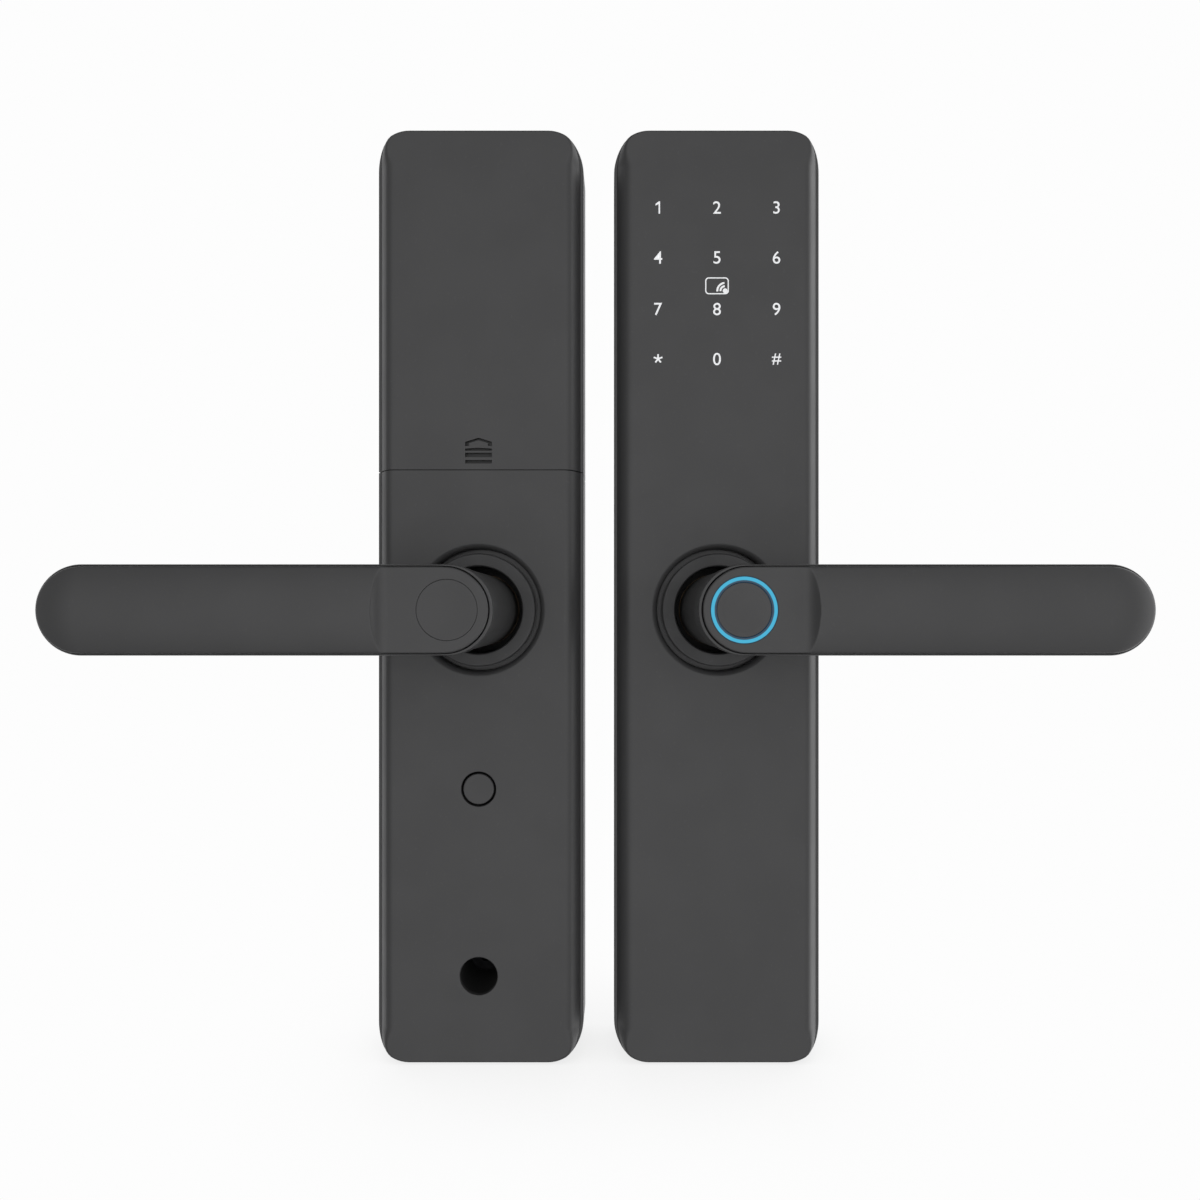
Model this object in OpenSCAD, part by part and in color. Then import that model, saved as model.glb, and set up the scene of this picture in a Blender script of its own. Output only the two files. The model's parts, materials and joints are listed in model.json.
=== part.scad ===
// Keypad smart lock: the outside unit (keypad, fingerprint lever) and the inside unit
// (battery bay, plain lever, privacy button) laid out side by side, fronts facing -Y.
// Origin: the outside lever's axis where it meets the door face. +X right, +Z up, +Y into the door.
// Depths named *_t are measured from the door face towards the front.

/* [Plates] */
// Width of each unit
plate_w = 65.6; // [62:0.2:90]
// Height of each unit
plate_h = 293.5; // [270:0.5:380]
// Thickness of each unit, door face to front face
plate_t = 22; // [21:0.5:30]
// Lever axis below the top edge
hub_drop = 151; // [148:0.2:190]
// Corner radius seen from the front
corner_r = 11; // [6:0.5:16]
// Radius of the two long front edges
edge_r = 7; // [4:0.5:8]
// Side wall of both housings
wall = 2.2; // [1.6:0.1:3]
// Front wall of both housings
front_wall = 2.4; // [1.6:0.1:3]
// Space between the two units
unit_gap = 9.8; // [4:0.2:40]

/* [Hub] */
// Radius of the recess round the rose ring
recess_r = 20; // [19:0.1:22]
// Depth of that recess
recess_deep = 2.5; // [1.5:0.1:3]
// Outer radius of the rose ring
rose_r = 17.8; // [16:0.1:18.5]
// How far the rose ring stands above the front face
rose_proud = 0.4; // [0:0.1:1.5]
// Radius of the clear hole round the lever neck
hub_hole_r = 13.7; // [13:0.1:15]

/* [Levers] */
// Lever length, axis to tip
lever_l = 104.5; // [90:0.5:140]
// Half width of the grip and radius of its round ends
grip_r = 11.6; // [10.5:0.1:12]
// Radius of the neck
neck_r = 11.4; // [10:0.1:12]
// Height of the flat head above the door face
head_t = 65.3; // [58:0.1:80]
// Radius of the grip's rounded front and back
crown_r = 32; // [14:0.5:40]
// How far the crown of the grip stands above the head
crown_rise = 2.3; // [1:0.1:3]
// Thickness of the grip at its middle
grip_thick = 13.6; // [11:0.1:18]
// Start of the scoop between head and grip, from the axis
scoop_x = 14; // [13:0.1:20]
// Radius of the scoop
scoop_r = 6.6; // [2.5:0.1:8]
// Width of the rim round the head
rim_w = 1.1; // [0.6:0.1:1.4]
// Turn each way
lever_turn = 45; // [30:1:60]

/* [Fingerprint reader] */
// Outer radius of the light ring
light_ring_r = 8.6; // [7.5:0.1:9]
// Radius of the sensor face
sensor_r = 7; // [5:0.1:7.2]
// Radius of the blank cap on the inside lever
cap_r = 7.8; // [6:0.1:9]

/* [Keypad] */
// Height of the top row above the lever axis
keypad_top = 126.4; // [110:0.2:130]
// Space between rows
key_row = 15.9; // [12:0.1:18]
// Space between columns
key_column = 18.5; // [14:0.1:20]
// Radius of the printed pad that carries each character
key_pad_r = 1.9; // [1.5:0.1:3]
// Height of the card symbol above the lever axis
card_z = 101.7; // [90:0.1:110]

/* [Battery bay] */
// Height of the cover's lower edge above the lever axis
seam_z = 44; // [36:0.5:60]
// Width of the open line at the seam
seam_gap = 0.4; // [0.2:0.1:0.8]
// Wall of the sliding cover
cover_wall = 2; // [1.4:0.1:3]
// Cell radius (AA)
cell_r = 7.1; // [5:0.1:7.3]
// Cell length without its nub
cell_l = 49.5; // [43:0.5:50]
// Sliding travel of the cover
cover_travel = 112; // [20:1:140]

/* [Button and bolts] */
// Radius of the privacy button
button_r = 4.85; // [3:0.05:6]
// Open ring round the button
button_gap = 0.6; // [0.3:0.05:0.8]
// Button below the lever axis
button_drop = 56.3; // [48:0.1:70]
// Button travel
button_travel = 1.2; // [0.5:0.1:1.6]
// Radius of the lower bolt's access hole
access_r = 5.9; // [5:0.1:8]
// Lower bolt above the bottom edge
lower_bolt_inset = 27.4; // [24:0.1:40]
// Upper bolt below the top edge
upper_bolt_inset = 32; // [26:0.5:36]
// Radius of the through bolts (M5)
bolt_r = 2.5; // [2:0.1:3]
// How far bolts and spindles stand out of the back
reach = 32; // [20:1:60]
// Length of the threaded posts behind the door face
post_l = 12; // [8:1:20]
// Side of the square spindles
spindle_w = 8; // [6:0.5:8]

/* [Fits] */
// Rubber gasket thickness
gasket_t = 1.5; // [1:0.1:2.5]
// Radial clearance of the turning parts
run_fit = 0.05; // [0.02:0.01:0.1]
// Clearance of the sliding parts
slide_fit = 0.2; // [0.1:0.05:0.5]

/* [Hidden] */
$fn = 64;
eps = 0.01;

// Small sizes that several pieces share
legend_t = 0.06;
card_w = 7.2;
card_h = 5.2;
diffuser_t = 0.6;
antenna_w = 34;
antenna_band = 3;
antenna_t = 0.4;
board_t = 1.6;
control_w = 36;
chip_w = 10;
chip_h = 1.2;
plug_w = 12;
plug_h = 4;
plug_deep = 6;
speaker_r = 7;
speaker_h = 4;
usb_w = 9;
usb_h = 3.2;
usb_wall = 0.3;
usb_tongue = 6.7;
usb_t = 11;
usb_deep = 8;
stud_r = 2.2;
board_screw_r = 1;
board_screw_l = 6;
board_head_h = 1;
screw_head_h = 1.1;
sensor_board_t = 1.4;
dish_r = 60;
mark_w = 8.4;
mark_bars = [[2, 1.1], [4, 1.4], [6, 0.8]];
mark_roof_z = 7.5;
mark_eave = 1.3;
mark_ridge = 2.6;
mark_line = 0.5;
mark_deep = 0.4;

// Plates
inside_x = -(plate_w + unit_gap);
top_z = hub_drop;
bottom_z = hub_drop - plate_h;
mid_z = (top_z + bottom_z) / 2;
rim_t = gasket_t;
back_plate = 1.5;
inner_t = rim_t + back_plate;
roof_t = plate_t - front_wall;
screw_x = plate_w / 2 - 9;
screw_rows = [top_z - 14, seam_z - 1.5, -62, bottom_z + 14];
boss_r = 3.5;
pilot_r = 1.25;
gasket_inset = 1;
gasket_w = 4;
keypad_half = key_column + 4.5;
keypad_z0 = keypad_top - 3 * key_row - 7;
keypad_z1 = keypad_top + 7;
control_t = 8;
control_z0 = -118;
control_z1 = -34;
control_holes = [control_w / 2 - 4, control_z0 + 10, control_z1 - 10];
spindle_hole_r = 10.5;
cable_slot_w = 14;
cable_slot_z = -53;

// Hub: bearing floor, bush, clip and tail, stacked up from the clutch
recess_t = plate_t - recess_deep;
boss_ring = 2.5;
cup_wall = 2;
clutch_t0 = inner_t + 0.4;
disc_t = 2.2;
driver_web = 1;
tail_t0 = clutch_t0 + disc_t + 0.3 + driver_web;
clip_t0 = tail_t0 + 1;
clip_t = 1;
floor_t0 = clip_t0 + clip_t + 0.5;
floor_t = 2;
flange_t = 1;
neck_t0 = floor_t0 + floor_t + flange_t + 0.3;
tail_r = 8;
groove_r = tail_r - 1;
bush_r = tail_r + 2;
flange_r = bush_r + 1.5;

// Lever: lens section, split where the front shell meets the body
crown_t = head_t + crown_rise;
back_t = crown_t - grip_thick;
split_t = head_t - 4.8;
shell_gap = 0.35;
shell_r = grip_r - rim_w - shell_gap;
head_back_t = split_t - 5;
pocket_t = split_t - 2.4;
cable_r = 1.2;

// Clutch
hub_disc_r = 9;
driver_in_r = hub_disc_r + 0.3;
driver_r = 13.5;
pin_r = 0.9;
pin_bite = 1.1;
fork_in_r = driver_r + 0.4;
fork_r = fork_in_r + 2.1;
fork_half_angle = lever_turn + 15;
fork_travel = 2;
pin_t = clutch_t0 + disc_t / 2;
motor_r = 5;
motor_flat = 7.6;
motor_l = 14;
motor_t = inner_t + motor_flat / 2 + 0.2;
screw_r = 1.5;
nut_r = 3.5;
nut_z = fork_r + 6;
nut_h = 6;
motor_z = nut_z + nut_h + fork_travel + 5.5;

// Battery bay
cover_in = plate_w / 2 - cover_wall;
chassis_t = 2;
tray_t = rim_t + chassis_t;
tray_floor = 1.2;
tray_wall = 1.2;
tray_half = cover_in - 0.55;
cell_gap = 0.4;
cell_pitch = 2 * cell_r + cell_gap;
cells = min(4, floor((2 * (tray_half - tray_wall) + cell_gap) / cell_pitch));
cell_t = tray_t + tray_floor + cell_r + 0.1;
tray_z0 = seam_z + seam_gap / 2 + 0.5;
tray_z1 = top_z - cover_wall - 2.1;
spring_h = 3.2;
contact_t = 0.5;
nub_h = 1;
nub_r = 2.7;
contact_half = 4.5;
bay_half = tray_half - tray_wall;
bay_board_t = tray_t + tray_floor;
bay_z0 = tray_z0 + tray_wall;
bay_z1 = bay_z0 + spring_h + cell_l + nub_h + contact_t;
rib_t = tray_t + tray_floor + 1.3;
rib_h = 1;
rib_bite = 1.1;
groove_deep = tray_half - (cover_in - rib_bite) + slide_fit;
lid_t = 16;
lid_h = 1.4;
lid_half = tray_half - 0.6;
catch_w = 8;
catch_l = 12;
catch_t = 0.6;
catch_reach = 1.6;

// Button and bolts
button_z = -button_drop;
guide_t = 17;
button_flange_t = guide_t - 1.3;
switch_top_t = 13;
switch_w = 6;
stem_r = 1.6;
inside_board_t = 9.6;
button_holes = [control_w / 2 - 3, button_z - 22, button_z + 14];
post_r = 4.5;
hex_r = 1.75;
hex_deep = 1.8;
plate_slot_in = 20;
plate_slot_w = 4.4;
lower_bolt_z = bottom_z + lower_bolt_inset;
upper_bolt_z = top_z - upper_bolt_inset;
bolt_seat_t = rim_t + 4.5;
head_r = 4.5;
head_h = 3;
bolt_hole_r = bolt_r + 0.25;
thread_r = bolt_r - 0.4;

metal_black = [0.16, 0.16, 0.165];
plastic_black = [0.1, 0.1, 0.1];
steel = [0.72, 0.73, 0.75];
brass = [0.8, 0.65, 0.3];
board_green = [0.05, 0.28, 0.16];
rubber_black = [0.07, 0.07, 0.07];
light_blue = [0.2, 0.65, 0.9];

// A 2D outline drawn in X and Z, made solid from depth t0 to depth t1
module slab(t0, t1) {
    translate([0, -t0, 0]) rotate([90, 0, 0]) linear_extrude(t1 - t0) children();
}

// A round bar square to the door, from depth t0 to depth t1
module rod(r, t0, t1, x = 0, z = 0) {
    translate([x, -t0, z]) rotate([90, 0, 0]) cylinder(r = r, h = t1 - t0);
}

// A washer or tube square to the door
module tube(r_out, r_in, t0, t1) {
    difference() {
        rod(r_out, t0, t1);
        rod(r_in, t0 - 1, t1 + 1);
    }
}

// A box from depth t0 to t1 and from z0 to z1, centred on x
module block(w, t0, t1, z0, z1, x = 0) {
    translate([x - w / 2, -t1, z0]) cube([w, t1 - t0, z1 - z0]);
}

module rounded_rect(w, h, r) {
    square([w - 2 * r, h], center = true);
    square([w, h - 2 * r], center = true);
    for (x = [-1, 1], z = [-1, 1])
        translate([x * (w / 2 - r), z * (h / 2 - r)]) circle(r);
}

// Front outline of a unit, taken in by inset all round
module outline(inset) {
    translate([0, mid_z])
        rounded_rect(plate_w - 2 * inset, plate_h - 2 * inset, max(corner_r - inset, 0.8));
}

// Cross-section of a unit: square at the door, rounded along the two front edges
module section(inset, t0, t1) {
    half = plate_w / 2 - inset;
    r = max(edge_r - inset, 0.5);
    translate([-half, -(t1 - r)]) square([2 * half, t1 - r - t0]);
    translate([-(half - r), -t1]) square([2 * (half - r), t1 - t0]);
    for (x = [-1, 1]) translate([x * (half - r), -(t1 - r)]) circle(r);
}

// The solid of a unit taken in by inset, between two heights
module unit_block(inset, t0, t1, z0, z1) {
    intersection() {
        slab(t0, t1) outline(inset);
        translate([0, 0, z0]) linear_extrude(z1 - z0) section(inset, t0, t1);
    }
}

module at_inside() {
    translate([inside_x, 0, 0]) children();
}

// The round seat of a lever: recess, clear hole, cup and bearing floor
module hub_solid() {
    rod(recess_r + boss_ring, recess_t - boss_ring, plate_t - eps);
    rod(hub_hole_r + cup_wall, floor_t0, recess_t);
}

module hub_cut() {
    rod(recess_r, recess_t, plate_t + 1);
    rod(hub_hole_r, floor_t0 + floor_t, plate_t + 1);
    rod(bush_r, floor_t0 - 1, plate_t);
}

// Screw positions of a circuit board: [half the spacing in X, lower z, upper z]
module board_spots(holes) {
    for (x = [-1, 1], z = [holes[1], holes[2]]) translate([x * holes[0], 0, z]) children();
}

// Pan-head screws that hold a circuit board to its studs, from the door side
module board_screws(holes, t) {
    color(steel) board_spots(holes) {
        difference() {
            rod(board_screw_r + 1, t - board_head_h, t);
            block(0.5, t - board_head_h - 1, t - board_head_h / 2, -1.5, 1.5);
            block(3, t - board_head_h - 1, t - board_head_h / 2, -0.25, 0.25);
        }
        rod(board_screw_r - run_fit, t - eps, t + board_screw_l - 1);
    }
}

// ---------------------------------------------------------------- outside unit

module outside_housing() {
    color(metal_black) difference() {
        union() {
            difference() {
                unit_block(0, rim_t, plate_t, bottom_z, top_z);
                unit_block(wall, rim_t - 1, roof_t, bottom_z + wall, top_z - wall);
            }
            hub_solid();
            for (x = [-1, 1], z = screw_rows) rod(boss_r, inner_t, roof_t + eps, x * screw_x, z);
            board_spots(control_holes) rod(stud_r, control_t + board_t, roof_t + eps);
        }
        hub_cut();
        board_spots(control_holes) rod(board_screw_r, control_t, control_t + board_screw_l);
        for (x = [-1, 1], z = screw_rows) rod(pilot_r, inner_t - 1, inner_t + 9, x * screw_x, z);
        // socket mouth for the emergency power lead in the bottom edge
        translate([0, -usb_t, bottom_z - 1]) linear_extrude(wall + 2)
            rounded_rect(usb_w + 2 * slide_fit, usb_h + 2 * slide_fit, usb_h / 2 + slide_fit - eps);
    }
}

module rose_ring() {
    color(metal_black) tube(rose_r, hub_hole_r, recess_t, plate_t + rose_proud);
}

module hub_bush() {
    color(brass) difference() {
        union() {
            rod(bush_r, floor_t0, floor_t0 + floor_t);
            rod(flange_r, floor_t0 + floor_t, floor_t0 + floor_t + flange_t);
        }
        rod(tail_r + run_fit, floor_t0 - 1, neck_t0);
    }
}

// Twelve printed characters in four rows, and the card symbol, as thin pads
module keypad_legends() {
    color("white") {
        for (row = [0:3], column = [-1:1])
            rod(key_pad_r, plate_t, plate_t + legend_t, column * key_column,
                keypad_top - row * key_row);
        translate([0, 0, card_z]) slab(plate_t, plate_t + legend_t) rounded_rect(card_w, card_h, card_h / 5);
    }
}

module light_diffuser() {
    color([0.9, 0.9, 0.9]) block(2 * keypad_half, roof_t - diffuser_t, roof_t, keypad_z0, keypad_z1);
}

module touch_board() {
    color(board_green)
        block(2 * keypad_half, roof_t - diffuser_t - board_t, roof_t - diffuser_t, keypad_z0, keypad_z1);
}

module card_antenna() {
    t1 = roof_t - diffuser_t - board_t;
    color(brass) translate([0, 0, card_z]) slab(t1 - antenna_t, t1) difference() {
        rounded_rect(antenna_w, antenna_w, 4);
        rounded_rect(antenna_w - 2 * antenna_band, antenna_w - 2 * antenna_band, 2);
    }
}

// Processor and memory on the front, two plugs for the harnesses on the back
module control_board() {
    front = control_t + board_t;
    mid = (control_z0 + control_z1) / 2;
    color(board_green) {
        difference() {
            block(control_w, control_t, front, control_z0, control_z1);
            board_spots(control_holes) rod(board_screw_r, control_t - 1, front + 1);
        }
        block(chip_w, front - eps, front + chip_h, mid - chip_w, mid);
        block(chip_w / 2, front - eps, front + chip_h, mid + 4, mid + 4 + chip_w / 2);
        for (z = [mid - 8, mid + 8])
            block(plug_w, control_t - plug_h, control_t + eps, z, z + plug_deep);
    }
}

module speaker() {
    color(plastic_black) difference() {
        rod(speaker_r, roof_t - speaker_h, roof_t, -screw_x / 2, bottom_z + 2 * speaker_r);
        rod(speaker_r - 2, roof_t - 1, roof_t + 1, -screw_x / 2, bottom_z + 2 * speaker_r);
    }
}

module usb_port() {
    color(steel) translate([0, -usb_t, bottom_z + slide_fit]) {
        linear_extrude(usb_deep) difference() {
            rounded_rect(usb_w, usb_h, usb_h / 2 - eps);
            rounded_rect(usb_w - 2 * usb_wall, usb_h - 2 * usb_wall, usb_h / 2 - usb_wall - eps);
        }
        translate([0, 0, usb_deep - 1]) linear_extrude(1)
            rounded_rect(usb_w - usb_wall, usb_h - usb_wall, usb_h / 2 - usb_wall);
        translate([-usb_tongue / 2, -0.35, 1]) cube([usb_tongue, 0.7, usb_deep - 1.5]);
    }
}

module outside_back_plate() {
    color(steel) difference() {
        slab(rim_t, inner_t) outline(wall + slide_fit);
        rod(spindle_hole_r, 0, inner_t + 1);
        for (x = [-1, 1], z = screw_rows) rod(pilot_r + 0.3, 0, inner_t + 1, x * screw_x, z);
        for (z = [upper_bolt_z, lower_bolt_z]) rod(post_r - 1.5, 0, inner_t + 1, 0, z);
        cable_slot();
    }
}

// Opening for the cable that passes through the door
module cable_slot() {
    translate([0, 0, cable_slot_z]) slab(-1, inner_t + 1) rounded_rect(cable_slot_w, 24, 3);
}

module outside_back_screws() {
    color(steel) for (x = [-1, 1], z = screw_rows) translate([x * screw_x, 0, z]) {
        difference() {
            rod(pilot_r + 1.3, rim_t - screw_head_h, rim_t);
            block(0.7, 0, rim_t - screw_head_h / 2, -1.6, 1.6);
            block(3.2, 0, rim_t - screw_head_h / 2, -0.35, 0.35);
        }
        rod(pilot_r - run_fit, rim_t - eps, inner_t + 7);
    }
}

// Rubber frame between a unit and the door
module gasket() {
    color(rubber_black) slab(0, gasket_t) difference() {
        outline(gasket_inset);
        outline(gasket_inset + gasket_w);
    }
}

module mounting_posts() {
    color(steel) for (z = [upper_bolt_z, lower_bolt_z]) difference() {
        union() {
            rod(post_r, -post_l, rim_t, 0, z);
            rod(post_r - 1.5, rim_t - eps, inner_t, 0, z);
        }
        rod(thread_r, -post_l - 1, inner_t - 1, 0, z);
    }
}

// ---------------------------------------------------------------- levers, pointing along +X

// Front outline of the grip: straight, with round ends of radius r
module stadium(r, x0, x1) {
    translate([x0, -r]) square([x1 - x0, 2 * r]);
    translate([x1, 0]) circle(r);
    translate([x0, 0]) circle(r);
}

module bar_x(r, x0, x1, t) {
    translate([x0, -t, 0]) rotate([0, 90, 0]) cylinder(r = r, h = x1 - x0);
}

grip_x1 = lever_l - grip_r;

module lever_body(socket) {
    color(metal_black) difference() {
        union() {
            rod(neck_r, neck_t0, split_t);
            rod(tail_r, tail_t0, neck_t0 + eps);
            // grip back: rounded like a lens, with a ball-shaped tip
            intersection() {
                slab(back_t - 1, split_t) stadium(grip_r, 0, grip_x1);
                union() {
                    bar_x(crown_r, 0, grip_x1, back_t + crown_r);
                    translate([grip_x1, -(back_t + crown_r), 0]) sphere(crown_r);
                    rod(grip_r, head_back_t, split_t);
                }
            }
            // rim round the head
            slab(split_t - eps, head_t - 0.5) difference() {
                stadium(grip_r, 0, scoop_x - grip_r - 2);
                stadium(shell_r + shell_gap, 0, scoop_x);
            }
            slab(split_t - eps, head_t - 0.5) for (z = [-1, 1])
                translate([0, z * (grip_r - rim_w / 2) - rim_w / 2]) square([scoop_x - 2, rim_w]);
        }
        difference() {
            rod(tail_r + 1, clip_t0 - 0.1, clip_t0 + clip_t + 0.1);
            rod(groove_r, clip_t0 - 1, clip_t0 + clip_t + 1);
        }
        rod(light_ring_r + 0.4, pocket_t, head_t);
        if (socket) {
            block(spindle_w, tail_t0 - 1, neck_t0 - 1, -spindle_w / 2, spindle_w / 2);
        } else {
            rod(cable_r + 0.4, tail_t0 - 1, head_t);
        }
    }
}

// Front shell: flat head, scoop and crowned grip in one piece; well_r is the hole for the disc in the head
module lever_front(well_r) {
    color(metal_black) difference() {
        union() {
            slab(split_t, head_t) {
                stadium(shell_r, 0, scoop_x - shell_r);
                translate([0, -shell_r]) square([scoop_x, 2 * shell_r]);
            }
            intersection() {
                slab(split_t, crown_t + 1) union() {
                    translate([scoop_x - 1.6, -grip_r]) square([grip_x1 - scoop_x + 1.6, 2 * grip_r]);
                    translate([grip_x1, 0]) circle(grip_r);
                }
                union() {
                    bar_x(crown_r, scoop_x - 2, grip_x1, crown_t - crown_r);
                    translate([grip_x1, -(crown_t - crown_r), 0]) sphere(crown_r);
                }
            }
        }
        block(2 * scoop_x, head_t, crown_t + 5, -grip_r - 1, grip_r + 1);
        translate([scoop_x, -(head_t + scoop_r), -grip_r - 1]) cylinder(r = scoop_r, h = 2 * grip_r + 2);
        rod(well_r, split_t - 1, crown_t);
    }
}

module lever_circlip() {
    color(steel) difference() {
        tube(flange_r - 0.5, groove_r + 0.02, clip_t0, clip_t0 + clip_t);
        block(5, clip_t0 - 1, clip_t0 + clip_t + 1, -tail_r - 6, -2);
    }
}

// Torsion spring round the cup, as three closed coils
module return_spring() {
    wire = 0.7;
    mean_r = hub_hole_r + cup_wall + wire + 0.4;
    color(steel) for (turn = [0:2]) translate([0, -(floor_t0 + 1.2 + turn * 1.5), 0])
        rotate([90, 0, 0]) rotate_extrude() translate([mean_r, 0]) circle(wire, $fn = 24);
}

// Shallow hollow of the given depth in the middle of the head
module dish(deep) {
    translate([0, -(head_t + dish_r - deep), 0]) sphere(dish_r, $fn = 360);
}

module fingerprint_sensor() {
    color(plastic_black) difference() {
        rod(sensor_r - 0.05, split_t, head_t - 0.15);
        dish(0.2);
    }
}

module fingerprint_light_ring() {
    color(light_blue) tube(light_ring_r, sensor_r, split_t, head_t + 0.05);
}

module fingerprint_board() {
    color(board_green) rod(light_ring_r, split_t - sensor_board_t, split_t);
}

module fingerprint_cable() {
    color("orange") rod(cable_r, tail_t0, split_t - sensor_board_t);
}

module lever_cap() {
    color(metal_black) difference() {
        rod(cap_r - 0.05, split_t - 1, head_t - 0.05);
        dish(0.6);
    }
}

// ---------------------------------------------------------------- clutch

// Drive ring on the lever's tail, with a radial hole for the pin
module clutch_driver() {
    color(steel) difference() {
        rod(driver_r, clutch_t0, tail_t0);
        rod(driver_in_r, clutch_t0 - 1, tail_t0 - driver_web);
        rod(cable_r + 0.4, clutch_t0, tail_t0 + 1);
        translate([0, -pin_t, 0]) cylinder(r = pin_r + 2 * run_fit, h = driver_r + 1);
    }
}

module clutch_hub() {
    color(brass) difference() {
        rod(hub_disc_r, clutch_t0, clutch_t0 + disc_t);
        block(spindle_w, clutch_t0 - 1, clutch_t0 + disc_t + 1, -spindle_w / 2, spindle_w / 2);
        translate([0, -pin_t, hub_disc_r - pin_bite - 0.5]) cylinder(r = pin_r + 2 * run_fit, h = hub_disc_r);
    }
}

module square_bar(t0, t1) {
    color(steel) block(spindle_w, t0, t1, -spindle_w / 2, spindle_w / 2);
}

module clutch_pin() {
    color(steel) translate([0, -pin_t, hub_disc_r - pin_bite])
        cylinder(r = pin_r, h = driver_r - 0.2 - hub_disc_r + pin_bite);
}

// Arc that keeps the pin in at every lever angle, on a stem with a nut for the screw
module clutch_fork() {
    color(plastic_black) difference() {
        union() {
            intersection() {
                tube(fork_r, fork_in_r, clutch_t0, clutch_t0 + disc_t);
                translate([0, -clutch_t0, 0]) rotate([90, 0, 0]) linear_extrude(disc_t)
                    polygon([[0, 0], for (a = [-1, -0.5, 0, 0.5, 1])
                        2 * fork_r * [sin(a * fork_half_angle), cos(a * fork_half_angle)]]);
            }
            block(2 * nut_r - 2, clutch_t0, clutch_t0 + disc_t, fork_r - 0.5, nut_z + 1);
            block(2 * nut_r, clutch_t0, motor_t + nut_r, nut_z, nut_z + nut_h);
        }
        translate([0, -motor_t, nut_z - fork_travel - 2])
            cylinder(r = screw_r + 2 * run_fit, h = nut_h + fork_travel + 3);
    }
}

module clutch_screw() {
    color(steel) translate([0, -motor_t, nut_z - 1]) cylinder(r = screw_r, h = motor_z - nut_z + 1);
}

module clutch_motor() {
    color(steel) translate([0, -motor_t, motor_z]) {
        intersection() {
            cylinder(r = motor_r, h = motor_l);
            translate([-motor_r, -motor_flat / 2, 0]) cube([2 * motor_r, motor_flat, motor_l]);
        }
    }
}

// ---------------------------------------------------------------- inside unit

module inside_housing() {
    color(metal_black) difference() {
        union() {
            difference() {
                unit_block(0, rim_t, plate_t, bottom_z, seam_z - seam_gap / 2);
                difference() {
                    unit_block(wall, rim_t - 1, roof_t, bottom_z + wall, seam_z);
                    block(plate_w, rim_t - 2, plate_t, seam_z - seam_gap / 2 - wall, seam_z + 1);
                }
            }
            // thin chassis that carries the battery bay under the cover
            intersection() {
                slab(rim_t, rim_t + chassis_t) outline(cover_wall + 0.4);
                block(plate_w, 0, plate_t, seam_z - seam_gap / 2 - eps, top_z);
            }
            hub_solid();
            rod(access_r + 2, rim_t, roof_t + eps, 0, lower_bolt_z);
            rod(button_r + button_gap + 1.6, guide_t, roof_t + eps, 0, button_z);
            board_spots(button_holes) rod(stud_r, inside_board_t + board_t, roof_t + eps);
        }
        hub_cut();
        board_spots(button_holes) rod(board_screw_r, inside_board_t, inside_board_t + board_screw_l);
        rod(access_r, bolt_seat_t, plate_t + 1, 0, lower_bolt_z);
        rod(bolt_hole_r, rim_t - 1, plate_t, 0, lower_bolt_z);
        rod(button_r + button_gap, guide_t - 1, plate_t + 1, 0, button_z);
        rod(bolt_hole_r, rim_t - 1, tray_t + 1, 0, upper_bolt_z);
    }
}

// Cuts that keep the tray clear of the round top corners of the cover
module clear_corners() {
    for (x = [-1, 1]) translate([x * tray_half, 0, tray_z1]) rotate([0, 45, 0])
        cube([corner_r / 2, 3 * plate_t, corner_r / 2], center = true);
}

// Open-fronted tray: side walls with a slot for the cover's ribs, a bay for the cells, a bay for the board
module battery_tray() {
    color(plastic_black) difference() {
        block(2 * tray_half, tray_t, lid_t, tray_z0, tray_z1);
        block(2 * bay_half, tray_t + tray_floor, lid_t + 1, bay_z0, bay_z1);
        block(2 * bay_half, tray_t + tray_floor, lid_t + 1, bay_z1 + tray_wall, tray_z1 - tray_wall);
        // slot for the cover's catch
        block(catch_w + 1, lid_t - catch_t - 0.2, lid_t + 1, tray_z1 - tray_wall - 1, tray_z1 + 1);
        for (x = [-1, 1])
            block(2 * groove_deep, rib_t - slide_fit, rib_t + rib_h + slide_fit,
                tray_z0 - 1, tray_z1 + 1, x * tray_half);
        clear_corners();
        rod(bolt_hole_r, tray_t - 1, lid_t, 0, upper_bolt_z);
    }
}

// Roof-shaped outline with upright ends, half as wide as half, its ridge at top
module roof_outline(half, eave, top) {
    polygon([[-half, 0], [half, 0], [half, eave], [0, top], [-half, eave]]);
}

// Grip mark engraved in the cover: three bars under a roof-shaped line
module grip_mark() {
    for (bar = mark_bars) translate([-mark_w / 2, bar[0]]) square([mark_w, bar[1]]);
    translate([0, mark_roof_z]) difference() {
        roof_outline(mark_w / 2, mark_eave, mark_ridge);
        translate([0, -eps])
            roof_outline(mark_w / 2 - mark_line, mark_eave - mark_line / 2, mark_ridge - mark_line);
    }
}

module battery_cover() {
    color(metal_black) {
        difference() {
            unit_block(0, rim_t + slide_fit, plate_t, seam_z + seam_gap / 2, top_z);
            unit_block(cover_wall, rim_t - 1, plate_t - cover_wall, seam_z - 1, top_z - cover_wall);
            translate([0, 0, seam_z]) slab(plate_t - mark_deep, plate_t + 1) grip_mark();
        }
        for (x = [-1, 1]) block(rib_bite + 0.1, rib_t, rib_t + rib_h, seam_z + 3, top_z - corner_r - 2,
            x * (cover_in - rib_bite / 2 + 0.05));
    }
}

// Cell i stands in the bay, every second one turned over
module at_cell(i) {
    mid = (bay_z0 + bay_z1) / 2;
    translate([(i - (cells - 1) / 2) * cell_pitch, -cell_t, mid]) rotate([180 * (i % 2), 0, 0])
        translate([0, 0, -(bay_z1 - bay_z0) / 2]) children();
}

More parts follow.
